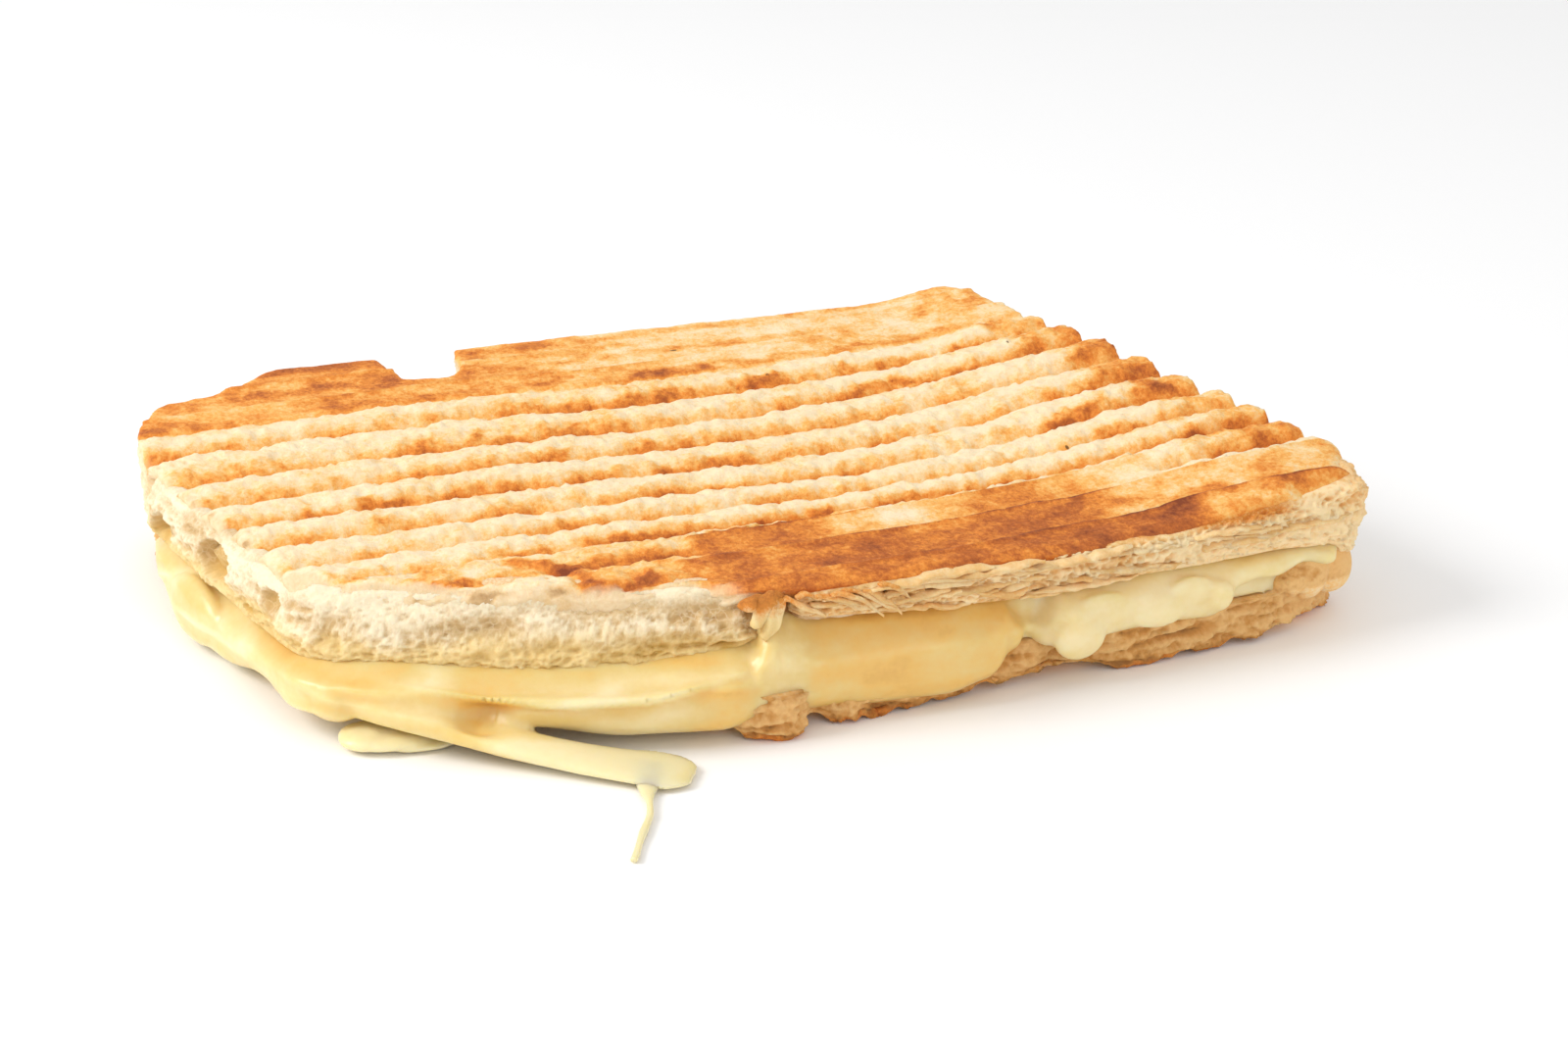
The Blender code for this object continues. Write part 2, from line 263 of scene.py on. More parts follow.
def slab(name, loop, z0, z1, edge):
    """Outline raised to a block with rounded rims."""
    nothing()
    bpy.ops.mesh.primitive_circle_add(vertices=len(loop), radius=0.05, fill_type="NGON")
    ob = added(name)
    place(ob, np.column_stack([loop, np.full(len(loop), float(z0))]))
    bpy.ops.object.mode_set(mode="EDIT")
    bpy.ops.mesh.select_all(action="SELECT")
    bpy.ops.mesh.extrude_region_move(TRANSFORM_OT_translate={"value": (0, 0, (z1 - z0) * MM)})
    bpy.ops.mesh.select_all(action="SELECT")
    bpy.ops.mesh.normals_make_consistent(inside=False)
    bpy.ops.object.mode_set(mode="OBJECT")
    e = np.array([[ob.data.vertices[i].co.z for i in ed.vertices] for ed in ob.data.edges])
    flat = np.abs(e[:, 0] - e[:, 1]) < 1e-6
    ob.data.edges.foreach_set("select", flat)
    bpy.ops.object.mode_set(mode="EDIT")
    bpy.ops.mesh.select_mode(type="EDGE")
    bpy.ops.mesh.bevel(offset=edge * MM, segments=4, affect="EDGES", clamp_overlap=True)
    bpy.ops.object.mode_set(mode="OBJECT")
    return ob


def ready(ob, material, slot, *nodes):
    ob.data.materials.clear()
    ob.data.materials.append(material)
    only(ob)
    bpy.ops.object.shade_smooth()
    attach(ob, "root")
    if nodes:
        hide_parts(*nodes)


# ---------------------------------------------------------------- materials
class Nodes:
    """A material and short calls for the nodes in it."""

    def __init__(self, name):
        self.m = bpy.data.materials.new(name)
        self.m.use_nodes = True
        self.t = self.m.node_tree
        self.out = self.t.nodes["Principled BSDF"]
        self.where = self.add("ShaderNodeTexCoord").outputs["Object"]

    def add(self, kind, **values):
        n = self.t.nodes.new(kind)
        for k, v in values.items():
            setattr(n, k, v)
        return n

    def link(self, a, b):
        if isinstance(a, (int, float, tuple)):
            b.default_value = a
        else:
            self.t.links.new(a, b)

    def attribute(self, name):
        return self.add("ShaderNodeAttribute", attribute_name=name).outputs["Fac"]

    def noise(self, size, detail=4.0, rough=0.6, stretch=(1, 1, 1)):
        m = self.add("ShaderNodeMapping")
        m.inputs["Scale"].default_value = stretch
        self.link(self.where, m.inputs["Vector"])
        n = self.add("ShaderNodeTexNoise")
        n.inputs["Scale"].default_value = 1 / (size * MM)
        n.inputs["Detail"].default_value = detail
        n.inputs["Roughness"].default_value = rough
        self.link(m.outputs[0], n.inputs["Vector"])
        return n.outputs["Fac"]

    def cellular(self, size, feature="F1"):
        n = self.add("ShaderNodeTexVoronoi", feature=feature)
        n.inputs["Scale"].default_value = 1 / (size * MM)
        sway = self.add("ShaderNodeTexNoise")
        sway.inputs["Scale"].default_value = 0.9 / (size * MM)
        self.link(self.where, sway.inputs["Vector"])
        shift = self.add("ShaderNodeVectorMath", operation="MULTIPLY_ADD")
        self.link(sway.outputs["Color"], shift.inputs[0])
        shift.inputs[1].default_value = (0.9 * size * MM,) * 3
        self.link(self.where, shift.inputs[2])
        self.link(shift.outputs[0], n.inputs["Vector"])
        return n.outputs["Distance"]

    def maths(self, how, a, b=0.0, c=0.0, clamp=False):
        n = self.add("ShaderNodeMath", operation=how, use_clamp=clamp)
        for v, s in zip((a, b, c), n.inputs):
            self.link(v, s)
        return n.outputs[0]

    def spread(self, v, a, b, lo=0.0, hi=1.0):
        n = self.add("ShaderNodeMapRange")
        self.link(v, n.inputs["Value"])
        for k, x in (("From Min", a), ("From Max", b), ("To Min", lo), ("To Max", hi)):
            n.inputs[k].default_value = x
        return n.outputs[0]

    def ramp(self, v, *stops):
        n = self.add("ShaderNodeValToRGB")
        while len(n.color_ramp.elements) < len(stops):
            n.color_ramp.elements.new(0.5)
        for e, (at, rgb) in zip(n.color_ramp.elements, stops):
            e.position = at
            e.color = (*rgb, 1)
        self.link(v, n.inputs["Fac"])
        return n.outputs["Color"]

    def mix(self, f, a, b):
        n = self.add("ShaderNodeMix", data_type="RGBA")
        self.link(f, n.inputs[0])
        for v, s in ((a, n.inputs[6]), (b, n.inputs[7])):
            self.link((*v, 1) if isinstance(v, tuple) else v, s)
        return n.outputs[2]

    def bump(self, height, strength, distance, after=None):
        n = self.add("ShaderNodeBump")
        n.inputs["Strength"].default_value = strength
        n.inputs["Distance"].default_value = distance * MM
        self.link(height, n.inputs["Height"])
        if after:
            self.link(after, n.inputs["Normal"])
        return n.outputs["Normal"]

    def surface(self, colour=None, rough=None, normal=None, **fixed):
        for v, s in ((colour, "Base Color"), (rough, "Roughness"), (normal, "Normal")):
            if v is not None:
                self.link(v, self.out.inputs[s])
        for k, v in fixed.items():
            self.out.inputs[k.replace("_", " ")].default_value = v
        return self.m


def toasted_crust(name, light, middle, deep):
    """White bread toasted by a ridged press: pale cream through gold and orange to brown."""
    n = Nodes(name)
    fine = n.noise(0.7, 5, 0.7)
    mid = n.noise(3.2, 4, 0.6)
    t = n.attribute("toast")
    t = n.maths("ADD", t, n.spread(fine, 0.25, 0.75, -0.19, 0.19))
    t = n.maths("ADD", t, n.spread(mid, 0.3, 0.7, -0.09, 0.09), clamp=True)
    toast = n.ramp(t, (0.0, (0.94, 0.76, 0.50)), (0.18, (0.94, 0.66, 0.33)), (0.36, (0.92, 0.48, 0.125)),
                   (0.55, (0.80, 0.27, 0.04)), (0.74, (0.52, 0.14, 0.025)), (1.0, (0.24, 0.055, 0.018)))
    c = n.attribute("crumb")
    # The crumb runs from light to deep with the "pit" attribute, which holds painted shade in pores, holes
    # and crevices besides random tone.
    pit = n.maths("ADD", n.attribute("pit"), n.spread(fine, 0.3, 0.7, -0.12, 0.12), clamp=True)
    crumb = n.ramp(pit, (0.0, light), (0.45, middle), (1.0, deep))
    colour = n.mix(c, toast, crumb)
    speck = n.spread(n.cellular(9.0), 0.028, 0.04, 1.0, 0.0)
    colour = n.mix(n.maths("MULTIPLY", speck, 0.8), colour, (0.06, 0.03, 0.015))
    b = n.bump(n.noise(1.5, 4, 0.75), 0.5, 0.5, n.bump(fine, 0.5, 0.3))
    return n.surface(colour, n.spread(fine, 0.3, 0.7, 0.62, 0.85), b, Subsurface_Weight=0.12,
                     Subsurface_Radius=(1.0, 0.55, 0.25), Subsurface_Scale=0.0015, Specular_IOR_Level=0.25)


def open_crumb(name, light, middle, deep):
    n = Nodes(name)
    fine = n.noise(0.45, 5, 0.7)
    patch = n.noise(6.0, 3, 0.6)
    # The "pit" attribute holds painted shade in pores, holes and creases besides random tone; the crumb and
    # its soaked colour both darken with it.
    pit = n.attribute("pit")
    pit = n.maths("ADD", pit, n.spread(fine, 0.3, 0.7, -0.12, 0.12))
    pit = n.maths("ADD", pit, n.spread(patch, 0.35, 0.65, -0.12, 0.12), clamp=True)
    crumb = n.ramp(pit, (0.0, light), (0.45, middle), (1.0, deep))
    soak = n.attribute("soak")
    web = n.maths("MULTIPLY", n.spread(n.cellular(1.3, "DISTANCE_TO_EDGE"), 0.02, 0.10, 1.0, 0.0),
                  n.spread(pit, 0.3, 0.7, 0.0, 0.4))
    crumb = n.mix(web, crumb, light)
    crumb = n.mix(soak, crumb, n.ramp(pit, (0.0, (0.87, 0.66, 0.31)), (1.0, (0.60, 0.36, 0.09))))
    toast = n.maths("ADD", n.attribute("toast"), n.spread(fine, 0.3, 0.7, -0.15, 0.15), clamp=True)
    crumb = n.mix(n.spread(toast, 0.1, 0.6), crumb,
                  n.ramp(toast, (0.2, (0.90, 0.52, 0.18)), (0.6, (0.72, 0.27, 0.05)),
                         (1.0, (0.36, 0.12, 0.03))))
    b = n.bump(fine, 0.5, 0.25)
    return n.surface(crumb, 0.85, b, Subsurface_Weight=0.2, Subsurface_Radius=(1.0, 0.6, 0.35),
                     Subsurface_Scale=0.0015, Specular_IOR_Level=0.2)


def molten_cheese():
    n = Nodes("molten cheese")
    flow = n.noise(9.0, 3, 0.5, (1, 1, 2.2))
    fine = n.noise(1.4, 4, 0.6)
    # The "tone" attribute holds the cheese's own colour changes together with painted shade and highlight
    # over its hole, folds and edges.
    t = n.maths("ADD", n.attribute("tone"), n.spread(flow, 0.3, 0.7, -0.18, 0.18), clamp=True)
    t = n.maths("ADD", t, n.spread(fine, 0.3, 0.7, -0.05, 0.05), clamp=True)
    colour = n.ramp(t, (0.0, (0.88, 0.74, 0.43)), (0.22, (0.83, 0.66, 0.31)), (0.45, (0.78, 0.575, 0.215)),
                    (0.7, (0.80, 0.50, 0.135)), (1.0, (0.62, 0.33, 0.07)))
    b = n.bump(fine, 0.12, 0.3)
    return n.surface(colour, n.spread(flow, 0.3, 0.7, 0.28, 0.42), b, Subsurface_Weight=0.45,
                     Subsurface_Radius=(1.0, 0.75, 0.3), Subsurface_Scale=0.004, Specular_IOR_Level=0.45,
                     Coat_Weight=0.15, Coat_Roughness=0.2)


CRUST = toasted_crust("toasted crust", (0.93, 0.78, 0.54), (0.78, 0.54, 0.28), (0.34, 0.15, 0.04))
BASE_CRUST = toasted_crust("toasted base", (0.82, 0.50, 0.20), (0.62, 0.30, 0.08), (0.33, 0.145, 0.038))
WHITE_CRUMB = open_crumb("white crumb", (0.92, 0.79, 0.56), (0.64, 0.44, 0.215), (0.44, 0.24, 0.08))
TAN_CRUMB = open_crumb("tan crumb", (0.96, 0.72, 0.41), (0.80, 0.46, 0.17), (0.44, 0.19, 0.045))
CHEESE = molten_cheese()


# ---------------------------------------------------------------- the top slice
def lift(x, y):
    front = 1 - 0.35 * smooth(y, 15, 40)
    start = 36 + 18 * smooth(y, 15, 40)
    return 3.0 * front * smooth((x - start) / (70 - start), 0, 1)


def under_height(x):
    return 9.6 + 3.3 * smooth(x, -28, 12)


def ridge_row(x, y):
    """Ridge number, counted from the back; the ridges sit closer together at the front."""
    p = on_plan(x, y)
    tight = (0.62 * smooth(-y, 12, 42) * (1 - 0.25 * smooth(x, 50, 70))
             + 0.23 * smooth(y, 14, 24) * smooth(-x, 0, 30))
    return (FIRST - y) / PITCH + tight + 0.045 * grain(p, 16, 3) + 0.028 * grain(p, 6, 4)


def crest_height(x, y):
    return TOP - 1.6 * bell(x, 12, 38) * bell(y, -4, 34) + lift(x, y)


def pressed_flat(x, y, row):
    """Where the slice lay flat on the press: the back strips and the strips at the front right."""
    back = smooth(1.75 - row, 0, 0.25)
    front = (smooth(row, 8.90, 8.96) * smooth(x + 1.5 * grain(on_plan(x, y), 3, 74), -22, -15.5)
             * smooth(56 - x, 0, 5))
    front = np.maximum(front, smooth(row, 9.90, 9.96) * smooth(x, -26, -17) * smooth(80 - x, 0, 3))
    return back, np.maximum(front, smooth(row, 10.85, 10.95) * smooth(x, 10, 16))


def spot(x, y, sx, sy, rx, ry):
    return np.exp(-((x - sx) / rx) ** 2 - ((y - sy) / ry) ** 2)


# small patches on the toast: x, y, half length, half width, how much
BROWN_SPOTS = [(-34, -4, 4, 3.2, 0.22), (-22, 22, 3, 4, 0.18), (-9, 20, 5, 3, 0.16), (8, -7, 3, 3, 0.22),
               (24, 22, 4, 3.5, 0.24), (39, 38, 4, 6, 0.20), (-17, 37, 7, 4, 0.10), (-50, 35, 18, 2.5, 0.12),
               (34, -8, 2, 4, 0.2), (46, 10, 5, 3, 0.14), (55, 22, 6, 3, 0.12), (58, -24, 5, 2.5, 0.22),
               (62, 31, 5, 3, 0.15), (-50, 12, 9, 2.5, 0.12)]
PALE_SPOTS = [(32, 46, 5, 3, 0.16), (54, 42, 3, 5, 0.24), (10, 45, 6, 3, 0.10), (-58, 40, 4, 4, 0.14),
              (14, 25, 8, 3, 0.1), (12, -34.5, 5, 1.4, 0.3), (50, -37, 4, 3, 0.2)]


def toast_level(x, y, row):
    """How brown the top is, from 0 (pale) to 1 (dark)."""
    p = on_plan(x, y)
    big, mid, small = layers(p, (13, 7, 9), 11, 2), layers(p, (4.0, 2.6, 3), 21, 3), layers(p, 1.5, 31, 2)
    f = row - np.round(row)                       # + in front of the ridge, - behind
    f = f + 0.06 * mid + 0.05 * small
    slope = np.where(f > 0, smooth(f, 0.08, 0.46), smooth(-f, 0.36, 0.47))
    t = 0.03 + 0.05 * big + slope * (0.43 + 0.22 * big + 0.17 * mid) + 0.09 * small * (0.4 + slope)
    t += (0.10 * smooth(mid, 0.15, 0.5) - 0.05 * smooth(x, 0, 40) * (1 - mid)
          - 0.10 * smooth(-x, 25, 55) * smooth(-y, 2, 16) * slope)
    t += 0.18 * bell(x, -5, 28) * bell(row, 2.05, 0.38) * (1 + mid)
    back, right = pressed_flat(x, y, row)
    strip = 0.40 + 0.16 * big + 0.26 * mid + 0.10 * small + 0.06 * smooth(-x, 5, 30)
    strip -= 0.20 * smooth(x, -8, 20) * (1 + 0.9 * big)
    strip += 0.20 * smooth(y, 54.2, 56.5) * smooth(-x, 25, 40)
    strip += 0.10 * bell(f, 0.40, 0.10)
    t = t * (1 - back) + np.maximum(t, strip) * back
    # the three strips at the front right, each dark behind its own sharp back edge
    first, second, third = (smooth(row, k - 0.10, k - 0.04) for k in (9, 10, 11))
    dark = 0.66 + 0.06 * big + 0.18 * mid + 0.10 * small
    dark -= (first * (1 - second) * (0.20 * smooth(x, -2, 5) + 0.16 * bell(x, 14, 9)
                                     + 0.16 * smooth(x, 38, 48) - 0.14 * bell(x, 31, 7)))
    dark -= (second * (1 - third) * (0.10 * bell(x, 16, 5) + (0.26 - 0.2 * mid) * smooth(x, 36, 46)
                                     + 0.04 * smooth(x, 58, 66)))
    dark -= third * ((0.20 - 0.15 * mid) * smooth(x, 47, 54) - 0.10 * bell(x, 38, 14))
    dark += (0.16 * spot(x, y, 3, -47, 6, 4) + 0.18 * spot(x, y, 12, -50, 4.5, 4)
             + 0.20 * spot(x, y, 47, -50.5, 6, 2.6) + 0.10 * spot(x, y, -15, -43, 3.5, 6)
             + 0.14 * spot(x, y, 25, -45, 8, 3) + 0.20 * spot(x, y, 64, -49, 3.2, 5)
             - 0.18 * spot(x, y, -10, -41, 5, 5))
    t = t * (1 - right) + np.maximum(dark, 0.16) * right
    for k, start, end in ((9, -17, 13), (10, 0, 46), (11, 20, 77)):
        sharp = bell(row, k - 0.045 + 0.012 * small, 0.035)
        t += 0.30 * sharp * smooth(x, start, start + 4) * smooth(end - x, 0, 4)
    # the ridge just behind the strips is golden all over
    t += 0.20 * smooth(x, -28, -8) * bell(row, 8.72, 0.36) * (1 - right) * (1 + 1.3 * mid)
    t += 0.26 * smooth(-x, 18, 24) * smooth(x, -40, -33) * smooth(-y, 27, 33) * (1 + 0.5 * mid)
    # browned tips of the ridges along the right side
    tip = (smooth(x + 0.06 * y + 2.5 * mid, 62, 69)
           * (0.30 + 0.28 * bell(y, 10, 11) + 0.2 * mid + 0.12 * big) * smooth(np.abs(f), 0.5, 0.15))
    t += tip * smooth(9.6 - row, 0, 0.5) * (1 - 0.6 * back)
    bend = np.hypot(x + 44.5, y + 40.5)           # curved crease at the front left
    t += 0.55 * bell(bend, 9.2, 1.3) * smooth(x, -46, -41) * smooth(y, -48, -38)
    t += (0.34 * spot(x, y, -51, -32.0, 8.5, 2.4) * (1 + 1.5 * mid)
          + 0.32 * spot(x, y, -61, -21.5, 5.5, 1.8) * (1 + 1.2 * mid))
    for sx, sy, rx, ry, amount in BROWN_SPOTS:
        t += amount * spot(x, y, sx, sy, rx, ry) * (0.8 + 0.9 * mid)
    for sx, sy, rx, ry, amount in PALE_SPOTS:
        t -= amount * spot(x, y, sx, sy, rx, ry)
    return t


def make_top():
    """The upper slice with its ridges, pressed strips, white shoulder and cut walls."""
    ob = slab("toasted_top", rounded(NOTCHED), TOP_FLOOR, TOP, 0.8)
    remesh(ob, 0.43, 0.75)
    p = points(ob)
    x, y, z = p.T.copy()
    edge = edge_distance(p[:, :2], rounded(LOAF, 5.0))
    notched_edge = edge_distance(p[:, :2], rounded(NOTCHED, 4.0))
    t = np.clip((z - TOP_FLOOR) / (TOP - TOP_FLOOR), 0, 1)
    row = ridge_row(x, y)
    plan = on_plan(x, y)
    back, front = pressed_flat(x, y, row)
    flat = np.maximum(back, front)
    f = row - np.round(row)
    # round-backed ridges with a narrow groove; the pressed strips step down instead
    drop = (2.6 + 1.5 * smooth(x, 55, 70)) * np.abs(2 * f) ** 2.5
    run = (row + 0.06) % 1.0
    step = 0.15 + 0.75 * smooth(run, 0, 0.9) * (1 - 0.45 * back) - 0.35 * bell(run, 0.04, 0.05)
    drop = drop * (1 - flat) + step * flat
    drop *= 1 - 0.72 * smooth(-(y + 20) - 0.22 * (x + 40), 0, 12) * smooth(-x, 14, 26)
    rough = (0.42 * layers(plan, (2.4, 1.5, 1), 41, 3) + 0.26 * grain(plan, 0.9, 43)
             + 0.35 * layers(plan, 6, 45, 2))
    rough = rough * (1 - 0.75 * flat) + 0.12 * flat * layers(plan, (4, 2.4, 1), 47, 3)
    rough -= 0.8 * bell(np.hypot(x + 44.5, y + 40.5), 8.0, 0.9) * smooth(x, -45, -40) * smooth(y, -48, -38)
    # soft white shoulder from the left round to the tear
    left = smooth(-x, 17, 23) * smooth(y, 30, 22)
    corner = smooth(-y, 20, 28)
    width = (1.1 + 0.6 * corner + 1.2 * smooth(-x, 45, 60) * corner
             + (0.6 + 0.6 * corner) * layers(plan, (7, 7, 1), 72, 2))
    roll = (left * ((0.7 + 1.0 * corner) * smooth(width + 1.2 - edge, 0, width + 1.2) ** 1.6)
            + 0.5 * smooth(2.0 - edge, 0, 2.0) * smooth(-y, 20, 35) * (1 - left))
    roll += 1.8 * smooth(x, 62, 66) * smooth(-y, 44, 50) * smooth(3.5 - edge, 0, 3.5)
    level = crest_height(x, y)
    top = level - drop + rough - roll
    under = under_height(x)
    z2 = under + t * (level - under) + smooth(t, 0.25, 1.0) * (top - level)
    side = smooth(1.6 - notched_edge, 0, 1.6) * smooth(1 - t, 0.0, 0.10)
    # below the crust the wall stands back, behind the crumb that is modelled on its own
    west = smooth(-x, 65, 71) * smooth(y, -34, -24)
    inward = np.column_stack([west + 0.40 * (1 - west) * smooth(-x, 12, 20), 1 - west, 0 * x])
    inward /= np.linalg.norm(inward, axis=1)[:, None]
    covered = (np.maximum(smooth(-x, 68, 72), smooth(-y, 20, 30) * (smooth(edge, 5, 3)))
               * smooth(28 - y, 0, 4))
    stand_back = (2.0 * covered * smooth(3.6 - notched_edge, 0, 3.6)
                  * np.maximum(smooth(0.92 - t, 0, 0.25), 1.1 * smooth(-x, 16, 24) * smooth(-y, 24, 30)))
    q = np.column_stack([x, y, z2]) + inward * stand_back[:, None]
    place(ob, q)
    n = facing(ob)
    wall = steep(n, 0.25, 0.6) * side
    warped = swayed(q, 0.7, 3)
    holes = bubbles(warped, (2.8, 2.8, 1.4), 5, 0.05, 0.5)
    pores = bubbles(warped, (1.1, 1.1, 0.7), 6, 0.05, 0.5)
    leaf = 1 - np.abs(layers(q, (7, 7, 1.7), 64, 3)) * 2.2
    q -= n * (wall * (0.35 * holes + 0.25 * pores - 0.5 * leaf + 0.3) * (1 - 0.7 * covered))[:, None]
    q += n * (wall * 0.4 * layers(p, (6, 6, 2.5), 8, 3))[:, None]
    place(ob, q)
    mark(ob, "toast", toast_level(x, y, row))
    shoulder = left * smooth(width + 0.9 * layers(plan, 2.2, 71, 2) - edge, -0.3, 0.9)
    # Painted shadow: a dark crevice in the crumb wall under the crust at the tear.
    crevice_shade = smooth(-y, 49, 51) * bell(x, -13, 3.4)
    under_crust = 0.14 * smooth(x, -14, -8) * smooth(-y, 44, 48)
    crumb = side * smooth(1 - t, 0.02 + under_crust, 0.10 + under_crust) + shoulder
    mark(ob, "crumb", np.clip(crumb, 0, 1))
    # Painted shade and highlight on the cut walls: darker in the holes and pores that are dented in above,
    # lighter on the raised leaves.
    wall_pore_shade = np.clip(0.22 + 0.30 * holes + 0.25 * pores - 0.30 * leaf, 0, 1.2) * side * (1 - shoulder)
    on_shoulder = shoulder * (0.27 + 0.45 * smooth(layers(plan, (4, 1.3, 1), 73, 3), 0.0, 0.5))
    mark(ob, "pit", np.clip(np.maximum(wall_pore_shade, 1.4 * crevice_shade * side) + on_shoulder, 0, 1.2))
    thin_out(ob, MOST["top"])
    ready(ob, CRUST, "toasted_bread", "top_slice")


# ---------------------------------------------------------------- along the side of the loaf
def side_path():
    """The loaf's side from the back of the left side, round the front, to the right end."""
    loop = rounded(LOAF, 1.0, 8)[::-1]
    k = int(np.argmin(np.hypot(loop[:, 0] + 75.0, loop[:, 1] - 27)))
    loop = np.roll(loop, -k, 0)
    s = np.concatenate([[0], np.cumsum(np.linalg.norm(np.diff(loop, axis=0), axis=1))])
    return loop, s


PATH, RUN = side_path()
STEPS = np.arange(0, RUN[-1], 0.5)
SIDE = np.column_stack([np.interp(STEPS, RUN, PATH[:, i]) for i in (0, 1)])


def away_from_side():
    """Outward directions along the side, evened out over a few millimetres."""
    along = np.gradient(SIDE, axis=0)
    weights = np.hanning(13) / np.hanning(13).sum()
    along = np.column_stack([np.convolve(np.pad(along[:, i], 6, mode="edge"), weights, mode="valid")
                             for i in (0, 1)])
    along /= np.linalg.norm(along, axis=1)[:, None]
    return np.column_stack([along[:, 1], -along[:, 0]])


AWAY = away_from_side()


def side_at(s):
    """Point and outward direction on the loaf's side after s millimetres."""
    p = np.column_stack([np.interp(s, STEPS, SIDE[:, i]) for i in (0, 1)])
    n = np.column_stack([np.interp(s, STEPS, AWAY[:, i]) for i in (0, 1)])
    return p, n / np.linalg.norm(n, axis=1)[:, None]


def s_near(x, y):
    return float(STEPS[np.argmin(np.hypot(SIDE[:, 0] - x, SIDE[:, 1] - y))])


def wrapped_grid(name, rows, cols):
    """A grid to be bent into a tube, with the row and the column of each of its points."""
    nothing()
    bpy.ops.mesh.primitive_grid_add(x_subdivisions=rows - 1, y_subdivisions=cols, size=1)
    ob = added(name)
    g = points(ob) * MM
    row, col = (np.rint((v - v.min()) / np.ptp(v) * n).astype(int)
                for v, n in ((g[:, 0], rows - 1), (g[:, 1], cols)))
    return ob, row, col % cols


def sealed(ob):
    """Weld the tube's seam, close its ends and turn its faces outwards."""
    only(ob)
    bpy.ops.object.mode_set(mode="EDIT")
    for work, values in ((bpy.ops.mesh.remove_doubles, {"threshold": 1e-7}),
                         (bpy.ops.mesh.fill_holes, {"sides": 0}),
                         (bpy.ops.mesh.normals_make_consistent, {"inside": False})):
        bpy.ops.mesh.select_all(action="SELECT")
        work(**values)
    bpy.ops.object.mode_set(mode="OBJECT")
    return ob


def tube(name, s, out, z):
    """A closed body along the side; out and z hold one ring of points for each s."""
    ob, i, j = wrapped_grid(name, *out.shape)
    p, n = side_at(s)
    xy = p[i] + n[i] * out[i, j][:, None]
    place(ob, np.column_stack([xy, z[i, j]]))
    return sealed(ob)


def ring(fine, coarse=7):
    """Angles round a ring: close together on the outer half, far apart inside."""
    a = np.linspace(-0.55, 0.55, fine) * np.pi
    b = np.linspace(0.55, 1.45, coarse + 2)[1:-1] * np.pi
    return np.concatenate([a, b])


def band(name, start, end, step, fine, middle, half, centre, reach, power=0.75, lean=0.0, ends=2.5):
    """A rounded band along the side from start to end; the sizes may be arrays over s."""
    s = np.arange(start, end, step)
    turn = ring(fine)
    c, sn = np.cos(turn), np.sin(turn)
    across, rise = np.sign(c) * np.abs(c) ** power, np.sign(sn) * np.abs(sn) ** power
    taper = np.clip(np.minimum(s - start, end - s) / ends, 0.02, 1) ** 0.5
    middle, half, centre, reach, lean = (np.broadcast_to(v(s) if callable(v) else v, s.shape)
                                         for v in (middle, half, centre, reach, lean))
    out = centre[:, None] + (reach * taper)[:, None] * across[None, :] - lean[:, None] * rise[None, :]
    z = middle[:, None] + (half * (0.6 + 0.4 * taper))[:, None] * rise[None, :]
    return tube(name, s, out, z)


def table(*rows):
    """Sizes at named places on the side, joined smoothly: rows of (x, y, value)."""
    at = np.array([s_near(x, y) for x, y, _ in rows])
    v = np.array([r[2] for r in rows], float)
    o = np.argsort(at)
    at, v = at[o], v[o]

    def size(s):
        k = np.clip(np.searchsorted(at, s) - 1, 0, len(at) - 2)
        t = smooth((s - at[k]) / np.maximum(at[k + 1] - at[k], 1e-6), 0, 1)
        return v[k] + (v[k + 1] - v[k]) * t
    return size


